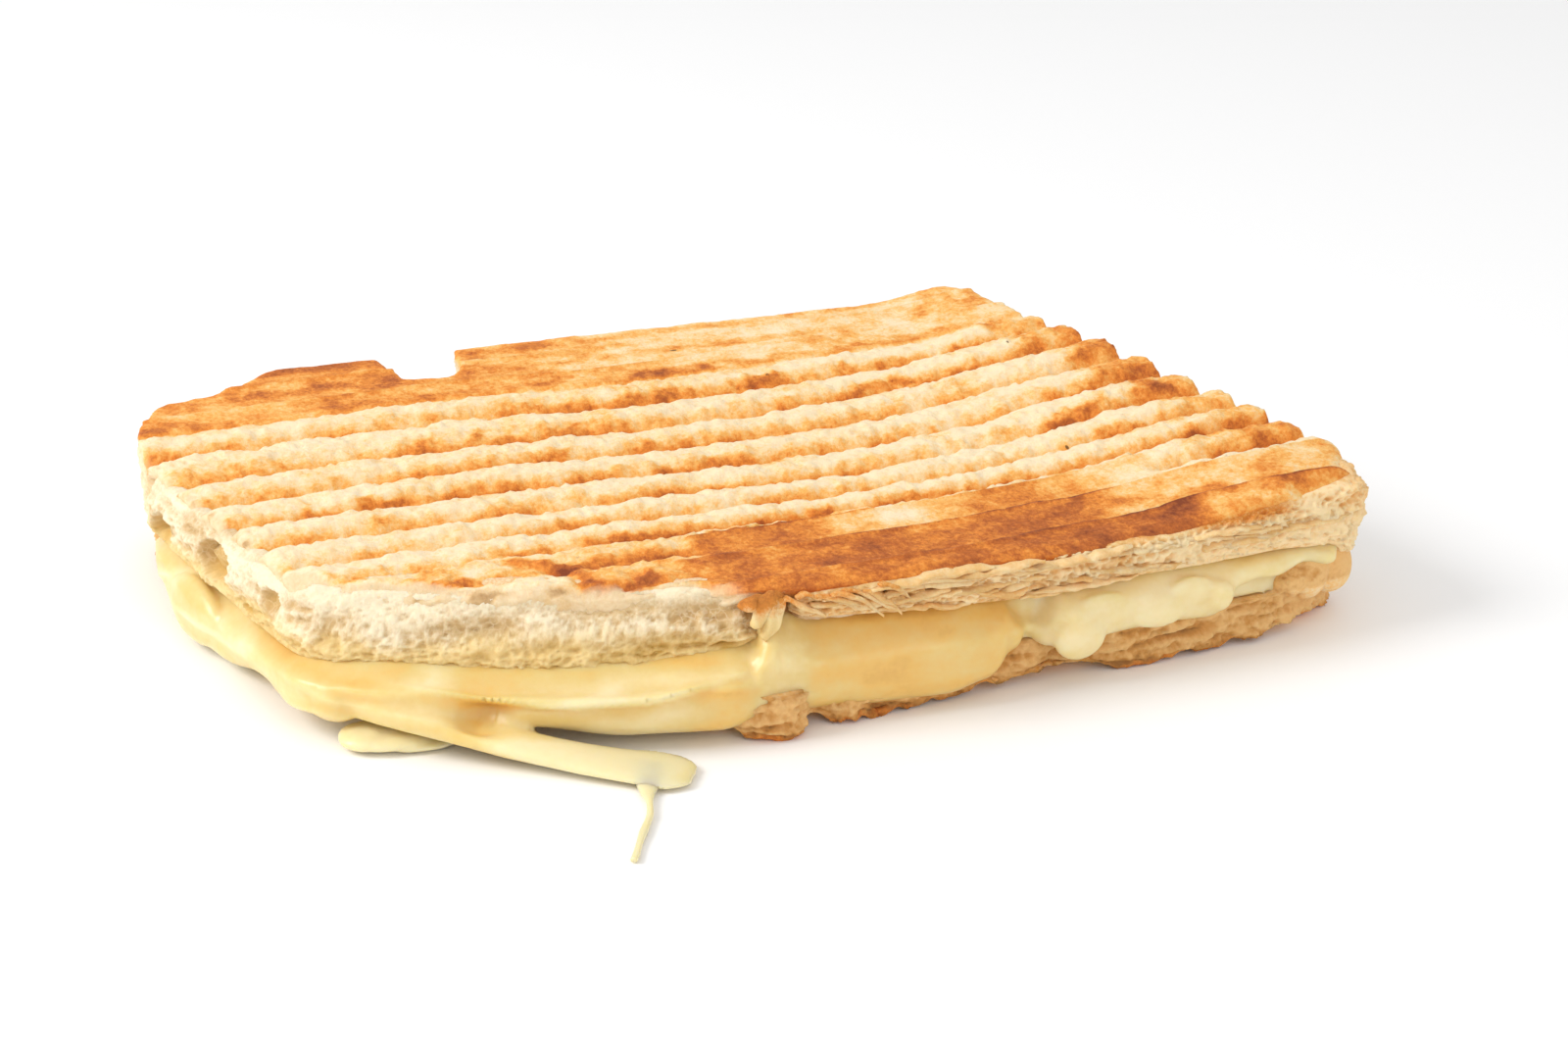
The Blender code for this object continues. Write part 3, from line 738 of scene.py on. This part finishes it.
def make_side_crumb():
    """Open crumb of the top slice: white and webbed at the left and front left."""
    top = table((-75, 26, 18.4), (-73, 0, 18.4), (-70, -20, 18.8), (-66, -32, 19.4), (-46, -42, 19.5),
                (-30, -47.5, 19.4), (-15, -53, 18.8))
    low = table((-75, 26, 9.8), (-73, 0, 9.3), (-70, -20, 9.0), (-60, -35, 9.4), (-46, -42, 9.0),
                (-33, -46.5, 9.2), (-24, -49.5, 10.6), (-14, -53, 12.4))
    back_off = table((-75, 26, 0.3), (-72, -10, 0.3), (-69, -26, 1.2), (-66, -32, 2.3), (-46, -42, 2.5),
                     (-30, -47.5, 2.2), (-15, -53, 1.5))
    ob = band("crumb_front_left", s_near(-74.6, 25), s_near(-14.4, -53), 0.27,
              64, lambda s: (top(s) + low(s)) / 2, lambda s: (top(s) - low(s)) / 2,
              lambda s: -0.7 - back_off(s), 2.5, 0.75, back_off, 4.0)
    q = points(ob)
    n = facing(ob)
    x, y, z = q.T.copy()
    outer = steep(n, 0.05, 0.4)
    warped = swayed(q, 0.9, 3.5)
    hollows = bubbles(warped, (4.6, 4.6, 2.1), 75, 0.03, 0.45)
    pores = bubbles(warped, (1.9, 1.9, 1.05), 76, 0.03, 0.5)
    specks = bubbles(q + 0.4 * layers(q, 1.2, 65, 2)[:, None], (0.85, 0.85, 0.55), 77, 0.03, 0.5)
    soft = layers(q, (6, 6, 1.6), 78, 3)
    loose = smooth(z, 18.0, 14.5) * (0.55 + 0.45 * smooth(x, -72, -62))
    # pit below both dents the crumb and darkens it: painted shade in its hollows, pores and specks.
    pit = np.clip(loose * hollows * smooth(layers(q, 7, 79, 2), -0.5, 0.35)
                  + 0.5 * pores * (0.3 + 0.7 * loose) + 0.28 * specks, 0, 1.3)
    # Painted shade in a dented crease along the upper wall.
    fold = bell(z + 0.8 * layers(q, (9, 9, 1), 86, 2), 16.6, 0.35) * smooth(x, -40, -30)
    pit = np.clip(pit + 0.5 * fold, 0, 1.3)
    shelf = layers(q, (12, 12, 2.4), 88, 2)
    relief = 0.8 * soft + 1.0 * shelf - 0.60 * pit
    # large round holes in the left side
    big_hole = np.zeros(len(q))
    for hy, hz, ry, rz, deep in ((-2.0, 14.2, 5.2, 2.9, 3.4), (16.0, 12.4, 3.8, 2.7, 3.0),
                                 (-20, 14.8, 2.6, 1.3, 1.4), (-13, 11.0, 1.5, 0.8, 0.8)):
        r = np.hypot((y - hy + 0.3 * (z - hz)) / ry, (z - hz) / rz) + 0.08 * grain(q, 2.0, 80)
        dent = np.sqrt(np.clip(1 - r ** 4, 0, 1)) * smooth(-x, 60, 64)
        relief = relief * (1 - 0.85 * (dent > 0) * smooth(-x, 60, 64)) - deep * dent
        big_hole = np.maximum(big_hole, dent)
    q += n * (outer * relief)[:, None]
    place(ob, q)
    upper = smooth(z + 0.8 * layers(q, 6, 87, 2), 15.4, 17.6)
    # Painted shade and highlight: darker in the pores, hollows and large holes, lighter on the raised soft
    # places and shelves, and a little darker towards the tear.
    mark(ob, "pit", np.clip(0.05 + 0.62 * pit * (1 - big_hole) * (1 - 0.6 * upper) - 0.25 * soft
                            - 0.30 * shelf + 0.75 * big_hole + 0.16 * smooth(x, -44, -26), 0, 1))
    front = smooth(x, -58, -46)
    soaked = 0.95 * smooth(z + 1.6 * layers(q, 5, 83, 2), 14.2 + 1.2 * front, 10.6 + 0.8 * front)
    # The large holes and the deepest pits also take the darker soaked colour, deepening their painted shade.
    mark(ob, "soak", np.clip(soaked + 0.55 * big_hole + 0.15 * smooth(pit, 0.6, 1.1), 0, 1))
    mark(ob, "toast", np.clip(0.35 * smooth(z + 0.5 * layers(q, 2.5, 84, 3), 18.3, 19.2)
                              * smooth(x, -66, -55), 0, 1))
    # the drawn-down tip of crumb and crust at the tear
    for k, (at, size) in enumerate((((-15.6, -53.0, 16.9), (2.2, 1.1, 2.5)),
                                    ((-14.6, -53.4, 15.6), (1.2, 0.9, 2.8)),
                                    ((-17.4, -52.5, 17.8), (2.0, 0.8, 1.1)))):
        tip = blob(at, size)
        q = points(tip)
        q[:, 0] += 0.30 * (q[:, 2] - 17) + 0.5 * grain(q, 1.5, 89 + k)
        q[:, 1] += 0.45 * grain(q, (0.8, 0.8, 2.5), 90 + k)
        place(tip, q)
        mark(tip, "pit", np.clip(0.12 + 0.35 * grain(q, (0.6, 0.6, 3), 91), 0, 1))
        mark(tip, "soak", 0.25 + 0.7 * smooth(q[:, 2], 17.6, 15.2))
        mark(tip, "toast", 0.8 * smooth(q[:, 2] + 0.8 * grain(q, (0.8, 0.8, 2.0), 92), 14.6, 18.6))
        together(ob, tip)
    ready(ob, WHITE_CRUMB, "toasted_bread")


def make_front_crumb():
    """Layered, fluffy tan crumb of the top slice at the front right."""
    top = table((-14, -53, 18.4), (0, -55, 18.7), (20, -56, 18.6), (40, -56.5, 19.0), (60, -55.6, 20.4),
                (76, -54, 21.4), (79, -46, 21.6), (78, -36, 21.4))
    low = table((-14, -53, 15.0), (-6, -54, 14.4), (6, -55, 13.6), (22, -56, 12.8), (30, -56.2, 13.6),
                (45, -56.3, 13.4), (60, -55.6, 13.2), (70, -55, 12.4), (77, -53, 9.5), (79, -44, 9.5),
                (78, -36, 10.5))
    ob = band("crumb_front_right", s_near(-12.4, -53.4), s_near(78.4, -38), 0.30,
              58, lambda s: (top(s) + low(s)) / 2, lambda s: (top(s) - low(s)) / 2, -1.6,
              table((-14, -53, 2.4), (0, -55, 2.9), (25, -56, 2.3), (45, -56.5, 2.7), (70, -55, 2.9),
                    (79, -46, 2.3)))
    q = points(ob)
    n = facing(ob)
    x, z = q[:, 0].copy(), q[:, 2].copy()
    outer = steep(n, 0.05, 0.4)
    leaf = 1 - np.abs(layers(q, (9, 9, 1.9), 91, 3)) * 2.2
    fine = layers(q, (2.2, 2.2, 0.7), 92, 3)
    pores = bubbles(q + 0.5 * fine[:, None], (1.5, 1.5, 0.9), 93, 0.03, 0.5)
    relief = 0.75 * leaf + 0.35 * fine - 0.65 * pores - 0.5
    lump = smooth(x, 66, 72)
    relief += lump * (1.5 * layers(q, 4.5, 94, 3) + 0.2)
    q += n * (outer * relief)[:, None]
    place(ob, q)
    # Painted shade and highlight: darker in the pores dented in above, lighter on the raised leaves and
    # lumps; also darker round x 0 near the top and paler towards the right end.
    mark(ob, "pit", np.clip(0.42 - 0.45 * leaf + 0.45 * pores - 0.2 * fine + 0.2 * spot(x, z, 0, 17, 10, 3)
                            - 0.38 * smooth(x, 36, 50), 0, 1))
    order = np.argsort(PATH[:, 0])
    rim = low(np.interp(x, PATH[:, 0][order], RUN[order]))
    mark(ob, "soak", np.clip(0.5 * smooth(z - rim + 0.4 * fine, 1.6, 0.2), 0, 1) * smooth(72 - x, 0, 4))
    mark(ob, "toast", np.clip(0.6 * smooth(z + 0.5 * fine, 18.0, 19.4) * smooth(66 - x, 0, 6)
                              + 0.34 * smooth(x, 69, 76) * smooth(z + 1.5 * fine, 13.5, 18.0), 0, 1))
    together(ob, *[make_shred(k, top, low) for k in range(46)])
    ready(ob, TAN_CRUMB, "toasted_bread")


def make_shred(k, top, low):
    """A torn, wavy leaf of crumb lying along the front; the first few hang over the tear."""
    r = [float(scramble(np.array([k, j, 5]), 17)) for j in range(8)]
    hook = k < 7
    x0 = -14.0 + 2.2 * k if hook else -10 + 72 * r[0]
    length = (4 + 5 * r[1]) if hook else (5 + 13 * r[1])
    s = s_near(x0, -53.6 - 0.05 * max(x0 + 12, 0)) + np.linspace(0, length, 7)
    u = np.linspace(0, 1, 7)
    z0 = ((18.9 - 0.9 * r[2]) if hook
          else float(low(s[:1])[0] + (top(s[:1])[0] - low(s[:1])[0]) * (0.15 + 0.75 * r[2])))
    z = (z0 + (-2.6 - 1.6 * r[3]) * u ** 1.6 * hook + 0.9 * (r[4] - 0.5) * np.sin(3 * u + 6 * r[5])
         + (1.5 * (r[3] - 0.5) * u) * (not hook))
    p, n = side_at(s)
    out = 0.5 + 0.6 * r[6] + 0.5 * np.sin(4 * u + 6 * r[7]) + 0.4 * hook
    w = (0.9 + 0.7 * r[3]) * np.sin(np.pi * (0.08 + 0.88 * u)) ** 0.7
    c = np.column_stack([p + n * (out - 0.5 * w)[:, None], z, w, 0.16 + 0.22 * w])
    ob = strand(c, 8)
    q = points(ob)
    q[:, 2] += 0.35 * grain(q, 1.3, 200 + k)
    q[:, 1] += 0.3 * grain(q, 1.1, 300 + k)
    place(ob, q)
    mark(ob, "pit", np.clip(0.16 + 0.25 * r[5] + 0.2 * grain(q, 1.5, 9), 0, 1))
    mark(ob, "soak", np.full(len(q), 0.1))
    brown = 0.55 * smooth(z0 - q[:, 2], 1.6, 0.0) if hook else 0.18 * (r[6] > 0.6)
    mark(ob, "toast", np.clip(np.full(len(q), brown), 0, 1))
    return ob


# ---------------------------------------------------------------- the bottom slice
def make_base():
    """The lower slice: ridged underneath, torn at the front and raised at the right end."""
    ob = slab("toasted_base", rounded(BASE), 0.0, BASE_TOP, 0.7)
    for at, size in (((65.0, -52.8, 7.4), (2.6, 2.2, 2.6)), ((68.5, -52.6, 8.0), (3.2, 2.2, 4.2)),
                     ((73.5, -51.0, 7.6), (3.4, 2.6, 4.4)), ((76.6, -46.5, 7.2), (2.4, 4.0, 4.0)),
                     ((77.0, -40.0, 6.8), (1.9, 4.6, 3.2))):
        together(ob, blob(at, size))
    remesh(ob, 0.42, 0.75)
    p = points(ob)
    x, y, z = p.T.copy()
    edge = edge_distance(p[:, :2], rounded(BASE, 5.0))
    groove = np.abs(((y / PITCH + 0.5) % 1.0) - 0.5) * PITCH
    t = np.clip(z / BASE_TOP, 0, 1)
    q = np.column_stack([x, y, z + 1.8 * smooth(groove, 1.5, PITCH / 2) * (1 - t) ** 1.5])
    place(ob, q)
    n = facing(ob)
    side = smooth(1.6 - edge, 0, 1.6)
    wall = steep(n, 0.25, 0.6) * side
    fine = layers(q, (2.2, 2.2, 0.8), 192, 3)
    leaf = 1 - np.abs(layers(q, (8, 8, 1.8), 191, 3)) * 2.2
    holes = bubbles(q + 0.6 * fine[:, None], (2.2, 2.2, 1.2), 15, 0.03, 0.5)
    pores = bubbles(q, (1.0, 1.0, 0.7), 16, 0.03, 0.5)
    lump = layers(q, (4.5, 4.5, 2.6), 193, 3)
    q = q - n * (wall * (0.30 * holes + 0.2 * pores - 0.8 * leaf - 0.5 * fine - 0.9 * lump + 0.5))[:, None]
    ragged = smooth(1.8 - z, 0, 1.8) * smooth(2.2 - edge, 0, 2.2)       # the lower rim
    q[:, 2] += ragged * np.clip(0.4 + 1.3 * layers(p, (2.6, 2.6, 9), 19, 3), 0, 1.6)
    place(ob, q)
    mid = layers(p, (6, 3, 3), 23, 3)
    mark(ob, "toast", np.where(t < 0.5, 0.58 - 0.25 * smooth(groove, 1.5, 4) + 0.2 * mid, 0.2))
    mark(ob, "crumb", np.clip(np.maximum(side * smooth(t + 0.08 * fine, -0.05, 0.10),
                                         smooth(z, 6.35, 6.7)), 0, 1))
    rim = smooth(1.5 + 0.8 * fine - q[:, 2], 0, 1.0)
    # Painted shade and highlight on the cut walls: darker in the holes and pores dented in above, lighter on
    # the raised leaves and lumps; the ragged lower rim is darker as well.
    mark(ob, "pit", np.clip(0.8 * rim + 0.34 + 0.25 * holes + 0.2 * pores - 0.45 * leaf - 0.35 * fine
                            - 0.3 * smooth(x, 60, 72), 0, 1))
    mark(ob, "soak", np.zeros(len(q)))
    thin_out(ob, MOST["base"])
    ready(ob, BASE_CRUST, "toasted_crumb", "bottom_slice")


# ---------------------------------------------------------------- the cheese
def strand(path, sides=16):
    """Flattened strand through (x, y, z, half width, half height), smoothed by a curve through them."""
    path = np.array(path, float)
    k = np.linspace(0, len(path) - 1, len(path) * 8)
    i = np.clip(k.astype(int), 0, len(path) - 2)
    t = (k - i)[:, None]
    p0, p1, p2, p3 = (path[np.maximum(i - 1, 0)], path[i], path[i + 1],
                      path[np.minimum(i + 2, len(path) - 1)])
    c = (0.5 * (2 * p1 + (p2 - p0) * t + (2 * p0 - 5 * p1 + 4 * p2 - p3) * t ** 2
                + (3 * p1 - p0 - 3 * p2 + p3) * t ** 3))
    d = np.gradient(c[:, :2], axis=0)
    d /= np.linalg.norm(d, axis=1)[:, None] + 1e-9
    ob, i, j = wrapped_grid("strand", len(c), sides)
    turn = j * 2 * np.pi / sides
    w, h = c[i, 3] * np.cos(turn), c[i, 4] * np.sin(turn)
    place(ob, np.column_stack([c[i, 0] - d[i, 1] * w, c[i, 1] + d[i, 0] * w, c[i, 2] + h]))
    return sealed(ob)


# rounded lobes: five on the ivory tongue, a fold on the bulge, and the skirt on the left side
LOBES = [((28.6, -57.2, 6.9), (3.9, 1.5, 3.2), 0), ((32.0, -56.7, 9.4), (5.4, 0.9, 3.2), 0),
         ((41, -57.2, 8.6), (4.6, 1.1, 2.4), 0), ((50.6, -57.0, 9.2), (2.3, 1.6, 2.3), 0),
         ((46, -56.9, 10.4), (4.0, 1.0, 2.3), 0), ((-66.0, -32.6, 5.6), (4.0, 3.0, 3.2), -0.9),
         ((-74.2, 3.0, 5.2), (2.4, 9, 4.4), 0.1)]


def make_cheese():
    """A layer between the slices, joined to the cheese that runs out round the front."""
    inner = rounded(LOAF, 2.0)
    mid = inner.mean(0)
    inner = mid + (inner - mid) * (1 - 1.6 / np.hypot(*(inner - mid).T))[:, None]
    layer = slab("layer", inner, 6.5, 9.4, 0.4)
    remesh(layer, 1.2)
    q = points(layer)
    rim = smooth(5.0 - edge_distance(q[:, :2], inner), 2, 5)
    q[:, 2] = np.where(q[:, 2] > 8, under_height(q[:, 0]) - 0.15,
                       6.5 - 1.1 * rim * smooth(layers(q, (8, 8, 90), 103, 2), -0.1, 0.5))
    far = (1.5 * layers(q, (9, 9, 90), 104, 3) - 0.3) * rim
    q[:, :2] += (q[:, :2] - mid) / np.linalg.norm(q[:, :2] - mid, axis=1)[:, None] * far[:, None]
    place(layer, q)
    top = table((-75, 24, 10.0), (-75.3, 17, 11.2), (-74.5, 8, 10.6), (-72, -6, 9.6), (-70, -20, 9.2),
                (-67, -31, 10.8), (-58, -35.5, 11.0), (-46, -42, 10.5), (-32, -47, 10.9),
                (-22, -50.2, 12.2), (-18, -52, 12.6), (-15.4, -53, 16.4), (-12.8, -53.5, 15.2),
                (-9, -54, 13.6), (-3, -54.6, 13.6), (6, -55, 14.0), (18, -56, 13.2), (21, -56, 10.0),
                (23.4, -56, 9.6), (26, -56, 14.0), (34, -56.3, 14.2), (50, -56, 13.9), (62, -55.5, 13.4),
                (66, -55.2, 13.0), (72, -54.6, 12.6), (77, -53, 9.5))
    low = table((-75, 24, 6.0), (-75.3, 17, 4.0), (-74.5, 8, 0.9), (-72, -6, 0.7), (-70, -18, 2.8),
                (-67, -31, 2.6), (-58, -35.5, 3.6), (-46, -42, 2.8), (-32, -47, 1.1), (-22, -50.2, 1.0),
                (-18, -51.8, 1.3), (-14.6, -53, 2.6), (-9, -54, 1.9), (0, -55, 1.4), (9, -55.3, 1.2),
                (15, -55.6, 2.2), (19, -56, 5.4), (21.6, -56, 7.6), (24.4, -56, 5.4), (28.4, -56.1, 3.8),
                (32.5, -56.2, 5.4), (42, -56.4, 5.9), (50, -56, 5.4), (55, -56, 8.8), (58, -55.8, 9.6),
                (62, -55.5, 9.2), (66, -55.2, 10.2), (70.5, -54.8, 9.4), (73, -54.5, 10.6), (77, -53, 7.4))
    out = table((-75, 24, 0.4), (-75.3, 17, 1.8), (-74.5, 8, 2.8), (-72, -6, 2.6), (-70, -20, 2.2),
                (-67, -31, 4.0), (-58, -35.5, 5.2), (-46, -42, 5.6), (-32, -47, 6.0), (-21, -51, 5.6),
                (-17, -52.3, 4.0), (-11, -53.8, 2.9), (-6, -54.4, 2.5), (2, -55, 2.7), (10, -55.3, 3.0),
                (16, -55.6, 2.3), (19.4, -56, 1.0), (22, -56, -0.8), (25, -56, 1.2), (27.6, -56.1, 2.4),
                (34, -56.3, 1.5), (42, -56.4, 1.4), (50, -56, 1.6), (56, -56, 0.6), (60, -55.6, 0.9),
                (63.4, -55.4, 0.2), (67, -55.1, -0.4), (70.5, -54.8, 0.7), (73.5, -54.4, -0.8),
                (77, -53, -1.8))
    s = np.arange(s_near(-75, 23), s_near(73.2, -54.4), 0.4)
    turn = ring(44, 8)
    hi, lo, reach = top(s)[:, None], low(s)[:, None], out(s)[:, None]
    c, sn = np.cos(turn)[None, :], np.sin(turn)[None, :]
    m, h = (hi + lo) / 2, (hi - lo) / 2
    belly = (1 + 0.16 * np.where(sn < 0, -sn, 0 * sn)
             - 0.50 * smooth(sn, 0.1, 1.0) * smooth(-s, -STEPS[-1] * 0.62, -STEPS[-1] * 0.5)[:, None])
    o = -3.2 + (reach + 3.2) * np.sign(c) * np.abs(c) ** 0.62 * belly
    z = m + h * np.sign(sn) * np.abs(sn) ** 0.85
    run = np.broadcast_to(s[:, None], o.shape)
    unrolled = np.column_stack([run.ravel(), np.zeros(o.size), z.ravel()])
    o = o + (0.45 * layers(unrolled, (11, 1, 3.4), 101, 3)).reshape(o.shape) * (c > 0)
    parts = [tube("apron", s, o, z), layer]
    for at, size, turn in LOBES:
        parts.append(blob(at, size, turn))
    parts.append(strand([(-66.0, -33.5, 5.6, 1.2, 1.6), (-61.5, -38.0, 5.2, 2.0, 1.9),
                         (-57.5, -41.3, 4.5, 2.3, 1.9), (-53.0, -45.0, 3.7, 2.6, 1.8),
                         (-48.5, -48.8, 2.8, 2.8, 1.7), (-43.5, -52.6, 2.0, 3.1, 1.45),
                         (-38.6, -56.2, 1.4, 3.9, 1.1), (-34.0, -59.2, 1.0, 4.6, 0.8),
                         (-31.4, -61.2, 0.8, 4.2, 0.6), (-29.8, -62.4, 0.7, 2.8, 0.45)]))
    drip = strand([(-34.0, -58.5, 0.9, 2.0, 0.5), (-35.6, -61.6, 0.8, 1.5, 0.45),
                   (-36.9, -64.4, 0.7, 0.85, 0.42), (-37.6, -66.6, 0.62, 0.42, 0.38),
                   (-38.8, -69.6, 0.55, 0.34, 0.36), (-40.6, -72.4, 0.52, 0.28, 0.32),
                   (-42.4, -75.2, 0.48, 0.26, 0.30), (-44.2, -78.2, 0.45, 0.34, 0.30),
                   (-44.9, -79.2, 0.5, 0.3, 0.3)], 10)
    ob = together(*parts, name="molten_cheese")
    remesh(ob, 0.42, 0.7)
    modify(ob, "SMOOTH", factor=0.6, iterations=5)
    thin_out(ob, MOST["cheese"])
    together(ob, drip)
    p = points(ob)
    n = facing(ob)
    x, y, z = p.T
    w = steep(n, 0.05, 0.5)
    flow = layers(p, (8, 8, 2.6), 51, 3)
    tilted = np.column_stack([x, y, z + 0.10 * (x + 35)])
    fold = np.clip(1 - np.abs(layers(tilted, (22, 22, 4.0), 55, 2)) * 4, 0, 1) * smooth(-x, 14, 20)
    drawn = grain(p, (0.7, 0.7, 5), 56) * bell(x, -15, 4.5) * smooth(z, 4, 9)
    # the upper sheet of cheese lies over the lower one at the front left
    lip = 8.9 - 2.3 * smooth(x, -64, -42) + 2.6 * smooth(x, -34, -18) + 0.5 * grain(p, (9, 9, 50), 58)
    sheet = (smooth(z - lip, -0.35, 0.2) * smooth(-x, 17, 21) * smooth(x, -70, -64)
             * smooth(lip + 3.5 - z, 0, 2.0))
    relief = 1.5 * sheet + 0.20 * flow + 0.25 * fold + 0.18 * drawn - 0.12 * smooth(x, -8, -2) * flow
    p += n * (w * relief)[:, None]
    # small hole between the bulge and the ribbon, dented in and painted deep inside as shade
    away = (p - np.array([-51.8, -47.2, 6.2])) / np.array([3.4, 3.2, 1.4])
    hollow = bell(np.linalg.norm(away, axis=1), 0, 1)
    p += n * (-3.2 * hollow)[:, None]
    p[:, 2] = np.maximum(p[:, 2], FLOOR_GAP)
    place(ob, p)
    left = smooth(-x, 14, 20)
    # Painted shade: deeper tone in the small hole; painted highlight: paler tone on the raised upper sheet.
    tone = 0.30 + 0.55 * hollow + 0.14 * left * smooth(x, -72, -66) - 0.14 * sheet
    # Painted shade just below the edge of the upper sheet.
    tone += 0.14 * bell(z - lip, -0.9, 0.8) * smooth(-x, 17, 21)
    # Painted highlight on the raised folds and painted shade in the dips between them.
    tone -= 0.14 * fold
    tone += 0.20 * (0.5 - fold) * left
    # the golden tongue, the ivory one and the pale ribbon
    tone += 0.34 * smooth(x, -13, -8) * smooth(22 - x, 0, 2) * smooth(-y, 50, 53)
    tone -= 0.17 * smooth(x, 22.5, 24) * smooth(-y, 46, 50)
    tone -= 0.42 * smooth(-y, 47, 55) * smooth(-x, 24, 31)
    # deeper tone close under the crumb: painted shade under its overhang
    tone += 0.45 * smooth(z + 0.8 * flow, 12.4, 14.2) * smooth(x, -12, -6) * smooth(-y, 50, 53)
    tone += 0.10 * smooth(z, 5, 10) * smooth(-x, 15, 20)
    tone -= 0.12 * smooth(-x, 68, 71) * smooth(z, 2, 6)
    mark(ob, "tone", tone)
    ready(ob, CHEESE, "molten_cheese", "cheese")


def make_flap():
    """The loose piece of cheese under the front left corner."""
    parts = [blob((-60.5, -37.6, 1.25), (6.4, 3.9, 1.2), -0.25),
             blob((-63.2, -36.6, 1.35), (3.8, 3.8, 1.3), -0.4),
             blob((-57.2, -40.4, 0.8), (4.6, 1.9, 0.7), -0.15)]
    ob = together(*parts, name="cheese_corner")
    remesh(ob, 0.22)
    modify(ob, "SMOOTH", factor=0.6, iterations=6)
    p = points(ob)
    n = facing(ob)
    p += n * (0.18 * layers(p, (3, 3, 1.2), 57, 2))[:, None]
    p[:, 2] = np.maximum(p[:, 2], FLOOR_GAP)
    place(ob, p)
    mark(ob, "tone", 0.03 + 0.06 * grain(p, 4, 3))
    thin_out(ob, MOST["corner"])
    ready(ob, CHEESE, "molten_cheese", "cheese_flap")


make_top()
make_side_crumb()
make_front_crumb()
make_base()
make_cheese()
make_flap()

# ---------------------------------------------------------------- floor, light and camera
nothing()
bpy.ops.mesh.primitive_plane_add(size=4.0, location=(0, 0, -0.00002))
floor = added("floor")
n = Nodes("pale floor")
floor.data.materials.append(n.surface((0.98, 0.98, 0.98, 1), 0.6, Specular_IOR_Level=0.2))

world = bpy.data.worlds.new("studio")
bpy.context.scene.world = world
world.use_nodes = True
world.node_tree.nodes["Background"].inputs[0].default_value = (1, 1, 1, 1)
world.node_tree.nodes["Background"].inputs[1].default_value = 0.78


def lamp(name, power, size, at):
    """Soft round lamp that shines at the middle of the sandwich."""
    nothing()
    bpy.ops.object.light_add(type="AREA", location=at)
    ob = bpy.context.object
    ob.name = name
    ob.data.shape = "DISK"
    ob.data.size = size
    ob.data.energy = power
    ob.rotation_mode = "QUATERNION"
    ob.rotation_quaternion = (Vector((0, 0, 0.01)) - Vector(at)).to_track_quat("-Z", "Y")


lamp("window", 5.3, 0.5, (-0.75, 0.15, 0.60))
lamp("fill", 1.2, 0.6, (0.1, -0.9, 0.45))

AZ, EL, ROLL = math.radians(26.11), math.radians(21.0), math.radians(0.87)
back = Vector((-math.sin(AZ) * math.cos(EL), -math.cos(AZ) * math.cos(EL), math.sin(EL)))
right = Vector((math.cos(AZ), -math.sin(AZ), 0))
up = back.cross(right)
rolled_right = right * math.cos(ROLL) + up * math.sin(ROLL)
rolled_up = up * math.cos(ROLL) - right * math.sin(ROLL)
nothing()
bpy.ops.object.camera_add()
cam = bpy.context.object
cam.name = "camera"
cam.data.sensor_width = 36
cam.data.lens = 63.09
cam.data.clip_start, cam.data.clip_end = 0.01, 20
turned = Matrix((rolled_right, rolled_up, back)).transposed().to_4x4()
cam.matrix_world = Matrix.Translation((-0.154443, -0.340848, 0.151306)) @ turned
bpy.context.scene.camera = cam
bpy.context.scene.view_settings.view_transform = "Standard"
